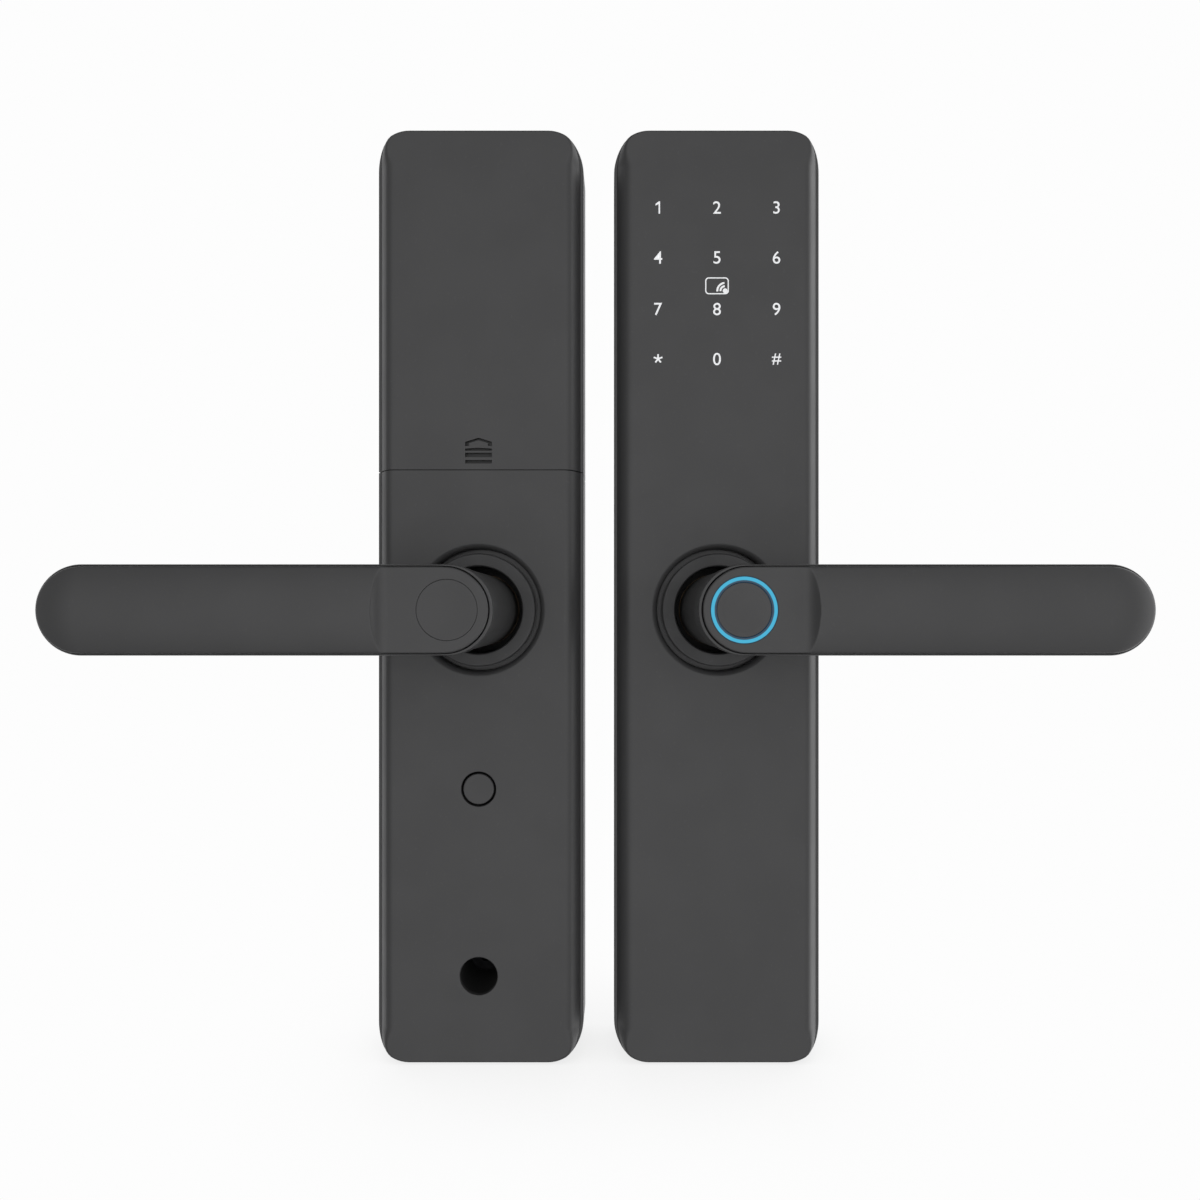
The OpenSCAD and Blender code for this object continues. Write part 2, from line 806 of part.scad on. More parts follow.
module batteries() {
    color([0.2, 0.22, 0.25]) for (i = [0:cells - 1]) at_cell(i) translate([0, 0, spring_h]) {
        cylinder(r = cell_r, h = cell_l);
        cylinder(r = nub_r, h = cell_l + nub_h);
    }
}

module battery_springs() {
    color(steel) for (i = [0:cells - 1]) at_cell(i) difference() {
        cylinder(r1 = contact_half, r2 = nub_r, h = spring_h);
        translate([0, 0, -1]) cylinder(r = nub_r - 1, h = spring_h + 2);
    }
}

module battery_contacts() {
    color(steel) for (i = [0:cells - 1]) at_cell(i)
        translate([-contact_half, -contact_half, bay_z1 - bay_z0 - contact_t])
            cube([2 * contact_half, 2 * contact_half, contact_t]);
}

module inside_control_board() {
    front = bay_board_t + board_t;
    color(board_green) difference() {
        union() {
            block(2 * bay_half - 2, bay_board_t, front, bay_z1 + tray_wall + 1, tray_z1 - corner_r);
            block(chip_w, front - eps, front + chip_h, upper_bolt_z - 5, upper_bolt_z + 5, bay_half / 2);
            block(plug_w, front - eps, front + plug_h, upper_bolt_z - 3, upper_bolt_z + 3, -bay_half / 2);
        }
        rod(head_r + 1, bay_board_t - 1, lid_t, 0, upper_bolt_z);
    }
}

module board_lid() {
    color(plastic_black) difference() {
        block(2 * lid_half, lid_t, lid_t + lid_h, bay_z1 + slide_fit, tray_z1);
        rod(head_r + 1, lid_t - 1, lid_t + lid_h + 1, 0, upper_bolt_z);
        block(catch_w + 1, lid_t - 1, lid_t + lid_h + 1, tray_z1 - catch_l - 1, tray_z1 + 1);
        clear_corners();
    }
}

// Leaf spring at the top of the tray that the cover clicks over
module cover_catch() {
    color(steel) {
        block(catch_w, lid_t - catch_t, lid_t, tray_z1 - catch_l, tray_z1 + catch_reach);
        block(catch_w, lid_t - eps, lid_t + catch_t, tray_z1 + catch_reach - catch_t, tray_z1 + catch_reach);
    }
}

module privacy_button() {
    color(metal_black) {
        rod(button_r, button_flange_t, plate_t - 0.05, 0, button_z);
        rod(button_r + button_gap + 1, button_flange_t, button_flange_t + 1, 0, button_z);
        rod(stem_r, switch_top_t + button_travel + 0.1, button_flange_t + eps, 0, button_z);
    }
}

// Tactile switch under the button, plug for the door cable behind
module button_board() {
    front = inside_board_t + board_t;
    color(board_green) {
        difference() {
            block(control_w, inside_board_t, front, button_z - 28, button_z + 20);
            board_spots(button_holes) rod(board_screw_r, inside_board_t - 1, front + 1);
        }
        block(switch_w, front - eps, switch_top_t - 0.8, button_z - switch_w / 2, button_z + switch_w / 2);
        rod(stem_r, switch_top_t - 1, switch_top_t, 0, button_z);
        block(plug_w, inside_board_t - plug_h, inside_board_t + eps, button_z - 24, button_z - 24 + plug_deep);
    }
}

module inside_mount_plate() {
    color(steel) difference() {
        slab(0, rim_t) outline(gasket_inset + gasket_w + 0.3);
        rod(spindle_hole_r, -1, rim_t + 1);
        for (z = [upper_bolt_z, lower_bolt_z]) rod(bolt_hole_r, -1, rim_t + 1, 0, z);
        cable_slot();
        for (x = [-1, 1], z = [top_z - plate_slot_in, bottom_z + plate_slot_in])
            translate([x * (plate_w / 2 - 14), 0, z]) slab(-1, rim_t + 1)
                rounded_rect(2 * plate_slot_w, plate_slot_w, plate_slot_w / 2 - eps);
    }
}

module through_bolts() {
    seats = [[lower_bolt_z, bolt_seat_t], [upper_bolt_z, tray_t + tray_floor]];
    color(steel) for (s = seats) {
        difference() {
            rod(head_r, s[1], s[1] + head_h, 0, s[0]);
            translate([0, 0, s[0]]) slab(s[1] + head_h - hex_deep, s[1] + head_h + 1)
                circle(hex_r, $fn = 6);
        }
        rod(bolt_r, -reach, s[1] + eps, 0, s[0]);
    }
}

module mirrored_lever() {
    at_inside() mirror([1, 0, 0]) children();
}

outside_housing();
rose_ring();  // outside_rose_ring
hub_bush();  // outside_hub_bush
keypad_legends();
light_diffuser();
touch_board();
card_antenna();
control_board();
speaker();
usb_port();
board_screws(control_holes, control_t);  // outside_board_screws
outside_back_plate();
outside_back_screws();
gasket();  // outside_gasket
mounting_posts();
lever_body(false);  // outside_lever_body
lever_front(light_ring_r);  // outside_lever_front
fingerprint_sensor();
fingerprint_light_ring();
fingerprint_board();
fingerprint_cable();
lever_circlip();  // outside_circlip
return_spring();  // outside_return_spring
clutch_driver();
clutch_hub();
square_bar(-reach, clutch_t0 + disc_t);  // outside_spindle
clutch_pin();
clutch_fork();
clutch_screw();
clutch_motor();
at_inside() inside_housing();
at_inside() rose_ring();  // inside_rose_ring
at_inside() hub_bush();  // inside_hub_bush
at_inside() battery_tray();
at_inside() battery_cover();
at_inside() batteries();
at_inside() battery_springs();
at_inside() battery_contacts();
at_inside() inside_control_board();
at_inside() board_lid();
at_inside() privacy_button();
at_inside() button_board();
at_inside() board_screws(button_holes, inside_board_t);  // inside_board_screws
at_inside() cover_catch();
at_inside() inside_mount_plate();
at_inside() gasket();  // inside_gasket
at_inside() through_bolts();
mirrored_lever() lever_body(true);  // inside_lever_body
mirrored_lever() lever_front(cap_r);  // inside_lever_front
mirrored_lever() lever_cap();  // inside_lever_cap
at_inside() lever_circlip();  // inside_circlip
at_inside() return_spring();  // inside_return_spring
at_inside() square_bar(-reach, neck_t0 - 1);  // inside_spindle
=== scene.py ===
"""Visual model of a keypad smart lock: an outside unit with keypad and fingerprint lever, and an inside unit
with battery cover and plain lever. Frame: metres, +X right, +Z up, +Y into the door. Sizes in the classes are
millimetres, and a depth counts from the door face towards the front."""
import json
import logging
import math
from dataclasses import dataclass, field
from enum import Enum
from typing import Callable, Iterable, Optional, Sequence

import bmesh
import bpy
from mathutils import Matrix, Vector
from mathutils.geometry import delaunay_2d_cdt


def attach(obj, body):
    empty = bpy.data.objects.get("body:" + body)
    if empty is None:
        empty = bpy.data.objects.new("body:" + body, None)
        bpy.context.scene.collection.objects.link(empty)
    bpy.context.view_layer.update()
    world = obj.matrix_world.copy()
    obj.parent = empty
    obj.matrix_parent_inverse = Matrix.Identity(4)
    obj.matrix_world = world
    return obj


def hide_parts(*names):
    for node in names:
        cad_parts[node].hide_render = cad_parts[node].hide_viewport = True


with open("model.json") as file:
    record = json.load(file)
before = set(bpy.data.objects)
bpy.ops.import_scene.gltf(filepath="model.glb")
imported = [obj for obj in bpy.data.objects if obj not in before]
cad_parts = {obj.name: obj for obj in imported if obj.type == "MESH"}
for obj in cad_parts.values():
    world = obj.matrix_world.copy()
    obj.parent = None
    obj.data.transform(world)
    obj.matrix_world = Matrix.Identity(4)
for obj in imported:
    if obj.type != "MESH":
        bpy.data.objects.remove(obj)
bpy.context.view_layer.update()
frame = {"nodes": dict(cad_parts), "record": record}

MM = 0.001
INSIDE_X = -75.4
BOTTOM_Z, TOP_Z, SEAM_Z = -142.5, 151.0, 44.0
LOWER_BOLT_Z, UPPER_BOLT_Z, BUTTON_Z = -115.1, 119.0, -56.3
FRONT_T, ROOF_T, RIM_T, INNER_T = 22.0, 19.6, 1.5, 3.0
WIDTH, WALL, EDGE_R, CORNER_R, CUT_R = 65.6, 2.2, 7.0, 11.0, 0.2
PRINT_T, PRINT_BACK_T = FRONT_T + 0.03, FRONT_T - 0.01
SHARP_EDGE = math.radians(32.0)
FINE_STEPS = 128

logging.basicConfig(level=logging.INFO, format="%(name)s: %(message)s")
log = logging.getLogger("lock")

Point2 = tuple[float, float]
Point3 = tuple[float, float, float]


class End(Enum):
    """How one end of a plate is finished."""

    ROUND = "round"
    CUT = "cut"


class Cut(Enum):
    """What a tool body does to a piece."""

    AWAY = "DIFFERENCE"
    JOIN = "UNION"


# ------------------------------------------------------------------ mesh tools


class Skin:
    """Collects the points and faces of one closed piece, as (x, depth, z) in millimetres."""

    def __init__(self) -> None:
        """Starts with nothing in it."""
        self.points: list[Point3] = []
        self.faces: list[tuple[int, ...]] = []

    def ring(self, points: Iterable[Point3]) -> list[int]:
        """Adds points.

        Args:
            points: their places.

        Returns:
            Their numbers.
        """
        start = len(self.points)
        self.points.extend(points)
        return list(range(start, len(self.points)))

    def bridge(self, rings: Sequence[list[int]]) -> None:
        """Joins rings of equal length, one after another.

        Args:
            rings: closed rings.
        """
        for a, b in zip(rings, rings[1:]):
            for i in range(len(a)):
                j = (i + 1) % len(a)
                self.faces.append((a[i], a[j], b[j], b[i]))

    def lathe(self, x: float, z: float, profile: Sequence[Point2], steps: int = 96) -> list[list[int]]:
        """Turns a profile round an axis square to the door.

        Args:
            x: place of the axis.
            z: place of the axis.
            profile: (radius, depth) pairs.
            steps: points round the axis.

        Returns:
            The rings, in the profile's order.
        """
        rings = []
        for radius, depth in profile:
            rings.append(self.ring((x + radius * math.cos(a), depth, z + radius * math.sin(a))
                                   for a in (math.tau * i / steps for i in range(steps))))
        self.bridge(rings)
        return rings

    def turned(self, x: float, z: float, profile: Sequence[Point2], steps: int = 96) -> None:
        """Turns a profile into a closed body; ends off the axis are capped.

        Args:
            x: place of the axis.
            z: place of the axis.
            profile: (radius, depth) pairs.
            steps: points round the axis.
        """
        rings = self.lathe(x, z, profile, steps)
        for ring in (rings[0], rings[-1]):
            self.faces.append(tuple(ring))

    def tube(self, x: float, z: float, profile: Sequence[Point2], steps: int = 96) -> None:
        """Turns a closed profile into a ring-shaped body.

        Args:
            x: place of the axis.
            z: place of the axis.
            profile: (radius, depth) pairs, all round.
            steps: points round the axis.
        """
        rings = self.lathe(x, z, profile, steps)
        self.bridge([rings[-1], rings[0]])

    def fill(self, *loops: list[int]) -> None:
        """Fills the flat region between loops, seen from the front.

        Args:
            loops: the outline and the holes in it.
        """
        ids = [i for loop in loops for i in loop]
        flat = [Vector((self.points[i][0], self.points[i][2])) for i in ids]
        edges = []
        for loop in loops:
            start = len(edges)
            edges += [(start + i, start + (i + 1) % len(loop)) for i in range(len(loop))]
        walls = [(flat[a], flat[b]) for a, b in edges]
        places, _, faces, origin = delaunay_2d_cdt(flat, edges, [], 0, 1e-6, True)[:4]
        for face in faces:
            mid = sum((places[i] for i in face), Vector((0, 0))) / len(face)
            inside = False
            for a, b in walls:
                if (a.y > mid.y) != (b.y > mid.y) and mid.x < (b.x - a.x) * (mid.y - a.y) / (b.y - a.y) + a.x:
                    inside = not inside
            if inside and all(origin[i] for i in face):
                self.faces.append(tuple(ids[origin[i][0]] for i in face))

    def stamp(self, front: float, back: float, *loops: Sequence[Point2]) -> None:
        """Makes a flat plate from outlines.

        Args:
            front: depth of its front face.
            back: depth of its back face.
            loops: the outline and the holes in it, as (x, z) pairs.
        """
        tops, ends = [], []
        for loop in loops:
            pair = [self.ring((x, t, z) for x, z in loop) for t in (front, back)]
            self.bridge(pair)
            tops.append(pair[0])
            ends.append(pair[1])
        self.fill(*tops)
        self.fill(*ends)

    def mesh(self, name: str) -> bpy.types.Mesh:
        """Makes the mesh, with its doubles merged and its faces turned outwards.

        Args:
            name: the mesh's name.

        Returns:
            The mesh, in metres.
        """
        data = bpy.data.meshes.new(name)
        data.from_pydata([(x * MM, -t * MM, z * MM) for x, t, z in self.points], [], self.faces)
        bm = bmesh.new()
        bm.from_mesh(data)
        bmesh.ops.remove_doubles(bm, verts=bm.verts, dist=2e-7)
        bmesh.ops.dissolve_degenerate(bm, edges=bm.edges, dist=1e-8)
        bmesh.ops.recalc_face_normals(bm, faces=bm.faces)
        bm.to_mesh(data)
        bm.free()
        return data


def quarter(x0: float, t0: float, x1: float, t1: float, steps: int = 6,
            bulge_first: bool = True) -> list[Point2]:
    """Rounds a corner with a quarter of an ellipse.

    Args:
        x0: start.
        t0: start depth.
        x1: end.
        t1: end depth.
        steps: parts of the arc.
        bulge_first: True if the arc leaves the start along x, False along the depth.

    Returns:
        The points from start to end.
    """
    out = []
    for i in range(steps + 1):
        a = math.pi / 2 * i / steps
        s, c = math.sin(a), 1 - math.cos(a)
        u, v = (s, c) if bulge_first else (c, s)
        out.append((x0 + (x1 - x0) * u, t0 + (t1 - t0) * v))
    return out


def disc(x: float, z: float, radius: float, steps: int = 48) -> list[Point2]:
    """Gives the points of a circle.

    Args:
        x: centre.
        z: centre.
        radius: its radius.
        steps: number of points.

    Returns:
        The points, anticlockwise.
    """
    return [(x + radius * math.cos(math.tau * i / steps), z + radius * math.sin(math.tau * i / steps))
            for i in range(steps)]


def rounded(x: float, z: float, width: float, height: float, radius: float, steps: int = 6) -> list[Point2]:
    """Gives the points of a rounded rectangle.

    Args:
        x: centre.
        z: centre.
        width: along x.
        height: along z.
        radius: of its corners.
        steps: parts of each corner.

    Returns:
        The points, anticlockwise.
    """
    out = []
    for k, (sx, sz) in enumerate(((1, -1), (1, 1), (-1, 1), (-1, -1))):
        for i in range(steps + 1):
            a = math.pi / 2 * (k - 1 + i / steps)
            out.append((x + sx * (width / 2 - radius) + radius * math.cos(a),
                        z + sz * (height / 2 - radius) + radius * math.sin(a)))
    return out


def outward(data: bpy.types.Mesh) -> None:
    """Turns the faces of a closed mesh outwards.

    Args:
        data: the mesh.
    """
    bm = bmesh.new()
    bm.from_mesh(data)
    bmesh.ops.recalc_face_normals(bm, faces=bm.faces)
    bm.to_mesh(data)
    bm.free()


def linked(name: str, data: bpy.types.ID) -> bpy.types.Object:
    """Puts data into the scene as a new object.

    Args:
        name: the object's name.
        data: its mesh, curve or camera.

    Returns:
        The object.
    """
    item = bpy.data.objects.new(name, data)
    bpy.context.scene.collection.objects.link(item)
    return item


def plain(maker: bpy.types.Object, *helpers: bpy.types.Object) -> bpy.types.Mesh:
    """Keeps an object's worked-out shape as a plain mesh, and removes the object.

    Args:
        maker: the object.
        helpers: objects that its modifiers use, removed with it.

    Returns:
        The mesh.
    """
    data = bpy.data.meshes.new_from_object(maker.evaluated_get(bpy.context.evaluated_depsgraph_get()))
    for thing in (maker, *helpers):
        bpy.data.objects.remove(thing)
    return data


def worked(data: bpy.types.Mesh, tools: Sequence[tuple[Cut, bpy.types.Mesh]]) -> bpy.types.Mesh:
    """Cuts tool bodies out of a mesh, or joins them to it.

    Args:
        data: the mesh.
        tools: what each tool does, and its mesh.

    Returns:
        The new mesh.
    """
    blank = linked("blank", data)
    helpers = []
    for how, shape in tools:
        helpers.append(linked("tool", shape))
        step = blank.modifiers.new("work", "BOOLEAN")
        step.operation, step.object, step.solver = how.value, helpers[-1], "EXACT"
    out = plain(blank, *helpers)
    out.name = data.name
    return out


def mirrored(data: bpy.types.Mesh, x: float) -> bpy.types.Mesh:
    """Copies a mesh, mirrored left to right, with its middle moved.

    Args:
        data: the mesh, round x = 0.
        x: where the copy's middle goes, in millimetres.

    Returns:
        The copy, faces outwards.
    """
    out = data.copy()
    for vertex in out.vertices:
        vertex.co.x = x * MM - vertex.co.x
    outward(out)
    return out


# ------------------------------------------------------------------ node tools


class Tree:
    """A node tree that is being built."""

    def __init__(self, tree: bpy.types.NodeTree) -> None:
        """Starts building.

        Args:
            tree: an empty tree.
        """
        self.tree = tree

    def link(self, value: bpy.types.NodeSocket, to: bpy.types.NodeSocket) -> None:
        """Feeds an output into an input."""
        self.tree.links.new(value, to)

    def add(self, kind: str, setup: Optional[dict] = None, **sockets: object) -> bpy.types.Node:
        """Adds a node.

        Args:
            kind: its type.
            setup: its properties.
            sockets: values or sockets for its inputs, by name with _ for a space, or _N for input N.

        Returns:
            The node.
        """
        node = self.tree.nodes.new(kind)
        for key, value in (setup or {}).items():
            setattr(node, key, value)
        for key, value in sockets.items():
            slot = node.inputs[int(key[1:])] if key[0] == "_" else node.inputs[key.replace("_", " ")]
            if isinstance(value, bpy.types.NodeSocket):
                self.link(value, slot)
            else:
                slot.default_value = value
        return node

    def math(self, what: str, a: object, b: object = 0.0, clamp: bool = False) -> bpy.types.NodeSocket:
        """Adds a maths node.

        Args:
            what: its operation.
            a: first value or socket.
            b: second value or socket.
            clamp: True to keep the result between 0 and 1.

        Returns:
            Its result.
        """
        return self.add("ShaderNodeMath", {"operation": what, "use_clamp": clamp}, _0=a, _1=b).outputs[0]

    def mix(self, factor: object, a: object, b: object) -> bpy.types.NodeSocket:
        """Mixes two colours.

        Args:
            factor: share of the second.
            a: first colour.
            b: second colour.

        Returns:
            The mixed colour.
        """
        node = self.add("ShaderNodeMix", {"data_type": "RGBA"})
        for index, value in ((0, factor), (6, a), (7, b)):
            if isinstance(value, bpy.types.NodeSocket):
                self.link(value, node.inputs[index])
            else:
                node.inputs[index].default_value = value
        return node.outputs[2]

    def span(self, value: object, low: float, high: float, to_low: float,
             to_high: float) -> bpy.types.NodeSocket:
        """Maps a range of values smoothly to another.

        Args:
            value: the value.
            low: start of its range.
            high: end of its range.
            to_low: result at the start.
            to_high: result at the end.

        Returns:
            The result.
        """
        return self.add("ShaderNodeMapRange", {"interpolation_type": "SMOOTHSTEP"}, _0=value, _1=low, _2=high,
                        _3=to_low, _4=to_high).outputs[0]

    def reach(self, spot: bpy.types.NodeSocket) -> bpy.types.NodeSocket:
        """Gives the distance of a place from an axis that is square to the door.

        Args:
            spot: the place, from a point on the axis.

        Returns:
            The distance.
        """
        apart = self.add("ShaderNodeSeparateXYZ", Vector=spot)
        flat = self.add("ShaderNodeCombineXYZ", X=apart.outputs["X"], Z=apart.outputs["Z"])
        return self.add("ShaderNodeVectorMath", {"operation": "LENGTH"}, _0=flat.outputs[0]).outputs["Value"]


def effect(name: str, inputs: Sequence[tuple[str, str, object]], outputs: Sequence[tuple[str, str]],
           ) -> tuple[bpy.types.NodeTree, Tree, bpy.types.Node, bpy.types.Node]:
    """Starts a shader node group.

    Args:
        name: its name.
        inputs: name, socket type and default value of each input.
        outputs: name and socket type of each output.

    Returns:
        The group, its builder, its input node and its output node.
    """
    group = bpy.data.node_groups.new(name, "ShaderNodeTree")
    for label, kind, value in inputs:
        made = group.interface.new_socket(name=label, in_out="INPUT", socket_type=kind)
        if value is not None:
            made.default_value = value
    for label, kind in outputs:
        group.interface.new_socket(name=label, in_out="OUTPUT", socket_type=kind)
    tree = Tree(group)
    return group, tree, tree.add("NodeGroupInput"), tree.add("NodeGroupOutput")


def grain_effect() -> bpy.types.NodeTree:
    """Builds the group for sprayed or moulded grain: a fine height, a cloudy tone and rare specks."""
    group, tree, start, end = effect(
        "fine_grain",
        [("Place", "NodeSocketVector", None), ("Grain", "NodeSocketFloat", 2600.0),
         ("Cloud", "NodeSocketFloat", 60.0), ("Speck", "NodeSocketFloat", 900.0)],
        [("Height", "NodeSocketFloat"), ("Tone", "NodeSocketFloat"), ("Speck", "NodeSocketFloat")])
    spot, grain = start.outputs["Place"], start.outputs["Grain"]
    fine = tree.add("ShaderNodeTexNoise", Vector=spot, Scale=grain, Detail=3.0, Roughness=0.6)
    cells = tree.add("ShaderNodeTexVoronoi", {"feature": "SMOOTH_F1"}, Vector=spot, Scale=grain,
                     Smoothness=0.8)
    cloud = tree.add("ShaderNodeTexNoise", Vector=spot, Scale=start.outputs["Cloud"], Detail=4.0,
                     Roughness=0.55)
    speck = tree.add("ShaderNodeTexNoise", Vector=spot, Scale=start.outputs["Speck"], Detail=1.0)
    height = tree.math("ADD", tree.math("MULTIPLY", fine.outputs[0], 0.6),
                       tree.math("MULTIPLY", cells.outputs[0], 0.4))
    tree.link(height, end.inputs["Height"])
    tree.link(tree.span(cloud.outputs[0], 0.3, 0.7, 0.0, 1.0), end.inputs["Tone"])
    tree.link(tree.span(speck.outputs[0], 0.66, 0.76, 0.0, 1.0), end.inputs["Speck"])
    return group


def brush_effect() -> bpy.types.NodeTree:
    """Builds the group for drawn or brushed metal: fine lines along one direction, and smudges."""
    group, tree, start, end = effect(
        "brushed",
        [("Place", "NodeSocketVector", None), ("Stretch", "NodeSocketVector", (1.0, 1.0, 1.0)),
         ("Fine", "NodeSocketFloat", 900.0)],
        [("Height", "NodeSocketFloat"), ("Smudge", "NodeSocketFloat")])
    lines = tree.add("ShaderNodeVectorMath", {"operation": "MULTIPLY"}, _0=start.outputs["Place"],
                     _1=start.outputs["Stretch"])
    fine = tree.add("ShaderNodeTexNoise", Vector=lines.outputs[0], Scale=start.outputs["Fine"], Detail=3.0)
    smudge = tree.add("ShaderNodeTexNoise", Vector=start.outputs["Place"], Scale=140.0, Detail=5.0,
                      Distortion=0.6)
    tree.link(fine.outputs[0], end.inputs["Height"])
    tree.link(tree.span(smudge.outputs[0], 0.35, 0.65, 0.0, 1.0), end.inputs["Smudge"])
    return group


def bore_shade_effect() -> bpy.types.NodeTree:
    """Builds the group that finds the inside of a bore from a depth downwards, where painted shade darkens
    the coat.
    """
    group, tree, start, end = effect(
        "bore", [("Place", "NodeSocketVector", None), ("Centre", "NodeSocketVector", (0.0, 0.0, 0.0)),
                 ("Reach", "NodeSocketFloat", 0.02), ("Start", "NodeSocketFloat", -0.02)],
        [("Painted Shade", "NodeSocketFloat")])
    off = tree.add("ShaderNodeVectorMath", {"operation": "SUBTRACT"}, _0=start.outputs["Place"],
                   _1=start.outputs["Centre"])
    apart = tree.add("ShaderNodeSeparateXYZ", Vector=off.outputs[0])
    # painted shade mask: near the bore's axis and below the given depth
    near = tree.math("LESS_THAN", tree.reach(off.outputs[0]), start.outputs["Reach"])
    sunk = tree.math("SUBTRACT", apart.outputs["Y"], start.outputs["Start"])
    tree.link(tree.math("MULTIPLY", near, tree.span(sunk, 0.0, 0.0015, 0.0, 1.0)), end.inputs["Painted Shade"])
    return group


GRAIN = grain_effect()
BORE_SHADE = bore_shade_effect()
BRUSH = brush_effect()


def new_finish(name: str) -> tuple[bpy.types.Material, Tree, bpy.types.Node, bpy.types.NodeSocket]:
    """Starts a material.

    Args:
        name: its name.

    Returns:
        The material, its builder, its Principled shader and the Object coordinates.
    """
    material = bpy.data.materials.new(name)
    material.use_nodes = True
    material.node_tree.nodes.clear()
    tree = Tree(material.node_tree)
    shader = tree.add("ShaderNodeBsdfPrincipled")
    tree.add("ShaderNodeOutputMaterial", Surface=shader.outputs[0])
    return material, tree, shader, tree.add("ShaderNodeTexCoord").outputs["Object"]


Colour = tuple[float, float, float]


def rgba(colour: Colour) -> tuple[float, float, float, float]:
    """Adds full opacity to a colour."""
    return (*colour, 1.0)


@dataclass(frozen=True)
class BoreShade:
    """Where painted shade darkens a coat: inside a bore, from a depth downwards, in millimetres."""

    x: float
    z: float
    reach: float
    start_t: float


@dataclass(frozen=True)
class Coat:
    """Sprayed paint, moulded plastic or rubber: a grained skin with cloudy tone and rare light specks, and
    painted shade deep inside the listed bores.
    """

    name: str
    dark: Colour
    light: Colour
    rough_low: float = 0.42
    rough_high: float = 0.52
    grain: float = 2600.0
    cloud: float = 60.0
    bump: float = 0.12
    depth: float = 0.00005
    speck: float = 0.25
    coat: float = 0.0
    coat_rough: float = 0.18
    bore_shades: tuple[BoreShade, ...] = ()
    # colour of the painted shade deep inside the bores
    bore_shade_colour: Colour = (0.008, 0.008, 0.008)

    def build(self) -> bpy.types.Material:
        """Makes the material."""
        material, tree, shader, spot = new_finish(self.name)
        grain = tree.add("ShaderNodeGroup", {"node_tree": GRAIN}, Place=spot, Grain=self.grain,
                         Cloud=self.cloud)
        tone = tree.mix(grain.outputs["Tone"], rgba(self.dark), rgba(self.light))
        bright = tuple(min(1.0, 1.8 * c + 0.01) for c in self.light)
        fleck = tree.math("MULTIPLY", grain.outputs["Speck"], self.speck)
        colour = tree.mix(fleck, tone, rgba(bright))
        rough = tree.span(grain.outputs["Tone"], 0.0, 1.0, self.rough_high, self.rough_low)
        # painted shade: darken and roughen the coat deep inside the listed bores
        bore_shade_mask = 0.0
        for item in self.bore_shades:
            bore = tree.add("ShaderNodeGroup", {"node_tree": BORE_SHADE}, Place=spot, Reach=item.reach * MM,
                            Centre=(item.x * MM, 0.0, item.z * MM), Start=-item.start_t * MM)
            bore_shade_mask = tree.math("MAXIMUM", bore.outputs["Painted Shade"], bore_shade_mask)
        if self.bore_shades:
            colour = tree.mix(bore_shade_mask, colour, rgba(self.bore_shade_colour))
            rough = tree.math("ADD", rough, tree.math("MULTIPLY", bore_shade_mask, 0.4))
        tree.link(colour, shader.inputs["Base Color"])
        tree.link(rough, shader.inputs["Roughness"])
        bump = tree.add("ShaderNodeBump", Strength=self.bump, Distance=self.depth,
                        Height=grain.outputs["Height"])
        tree.link(bump.outputs[0], shader.inputs["Normal"])
        if self.coat:
            shader.inputs["Coat Weight"].default_value = self.coat
            shader.inputs["Coat Roughness"].default_value = self.coat_rough
        return material


@dataclass(frozen=True)
class Metal:
    """Bare or plated metal with fine lines and smudges."""

    name: str
    dark: Colour
    light: Colour
    rough_low: float = 0.2
    rough_high: float = 0.42
    stretch: Colour = (1.0, 12.0, 1.0)
    bump: float = 0.1

    def build(self) -> bpy.types.Material:
        """Makes the material."""
        material, tree, shader, spot = new_finish(self.name)
        brush = tree.add("ShaderNodeGroup", {"node_tree": BRUSH}, Place=spot, Stretch=self.stretch)
        tree.link(tree.mix(brush.outputs["Smudge"], rgba(self.dark), rgba(self.light)),
                            shader.inputs["Base Color"])
        tree.link(tree.span(brush.outputs["Smudge"], 0.0, 1.0, self.rough_high, self.rough_low),
                            shader.inputs["Roughness"])
        bump = tree.add("ShaderNodeBump", Strength=self.bump, Distance=0.00004,
                        Height=brush.outputs["Height"])
        tree.link(bump.outputs[0], shader.inputs["Normal"])
        shader.inputs["Metallic"].default_value = 1.0
        return material


@dataclass(frozen=True)
class Board:
    """Circuit board: green solder mask over branching tracks, with plated spots."""

    name: str
    mask: Colour = (0.006, 0.07, 0.03)
    track: Colour = (0.012, 0.13, 0.055)
    plate: Colour = (0.75, 0.52, 0.2)

    def build(self) -> bpy.types.Material:
        """Makes the material."""
        material, tree, shader, spot = new_finish(self.name)
        steps = tree.add("ShaderNodeVectorMath", {"operation": "SNAP"}, _0=spot, _1=(0.0006, 0.0006, 0.0006))
        noise = tree.add("ShaderNodeTexNoise", Vector=steps.outputs[0], Scale=240.0, Detail=1.0)
        wires = tree.add("ShaderNodeTexBrick", {"offset": 0.37}, Vector=spot, Scale=160.0, Mortar_Size=0.06,
                         Mortar_Smooth=0.1)
        spots = tree.add("ShaderNodeTexVoronoi", Vector=spot, Scale=260.0)
        lines = tree.math("MULTIPLY", wires.outputs["Fac"],
                          tree.span(noise.outputs[0], 0.42, 0.5, 0.0, 1.0), True)
        pads = tree.math("MULTIPLY", tree.span(spots.outputs[0], 0.16, 0.2, 1.0, 0.0),
                         tree.span(noise.outputs[0], 0.5, 0.56, 0.0, 1.0), True)
        colour = tree.mix(pads, tree.mix(lines, rgba(self.mask), rgba(self.track)), rgba(self.plate))
        tree.link(colour, shader.inputs["Base Color"])
        tree.link(pads, shader.inputs["Metallic"])
        tree.link(tree.span(lines, 0.0, 1.0, 0.28, 0.4), shader.inputs["Roughness"])
        bump = tree.add("ShaderNodeBump", Strength=0.3, Distance=0.00004, Height=lines)
        tree.link(bump.outputs[0], shader.inputs["Normal"])
        return material


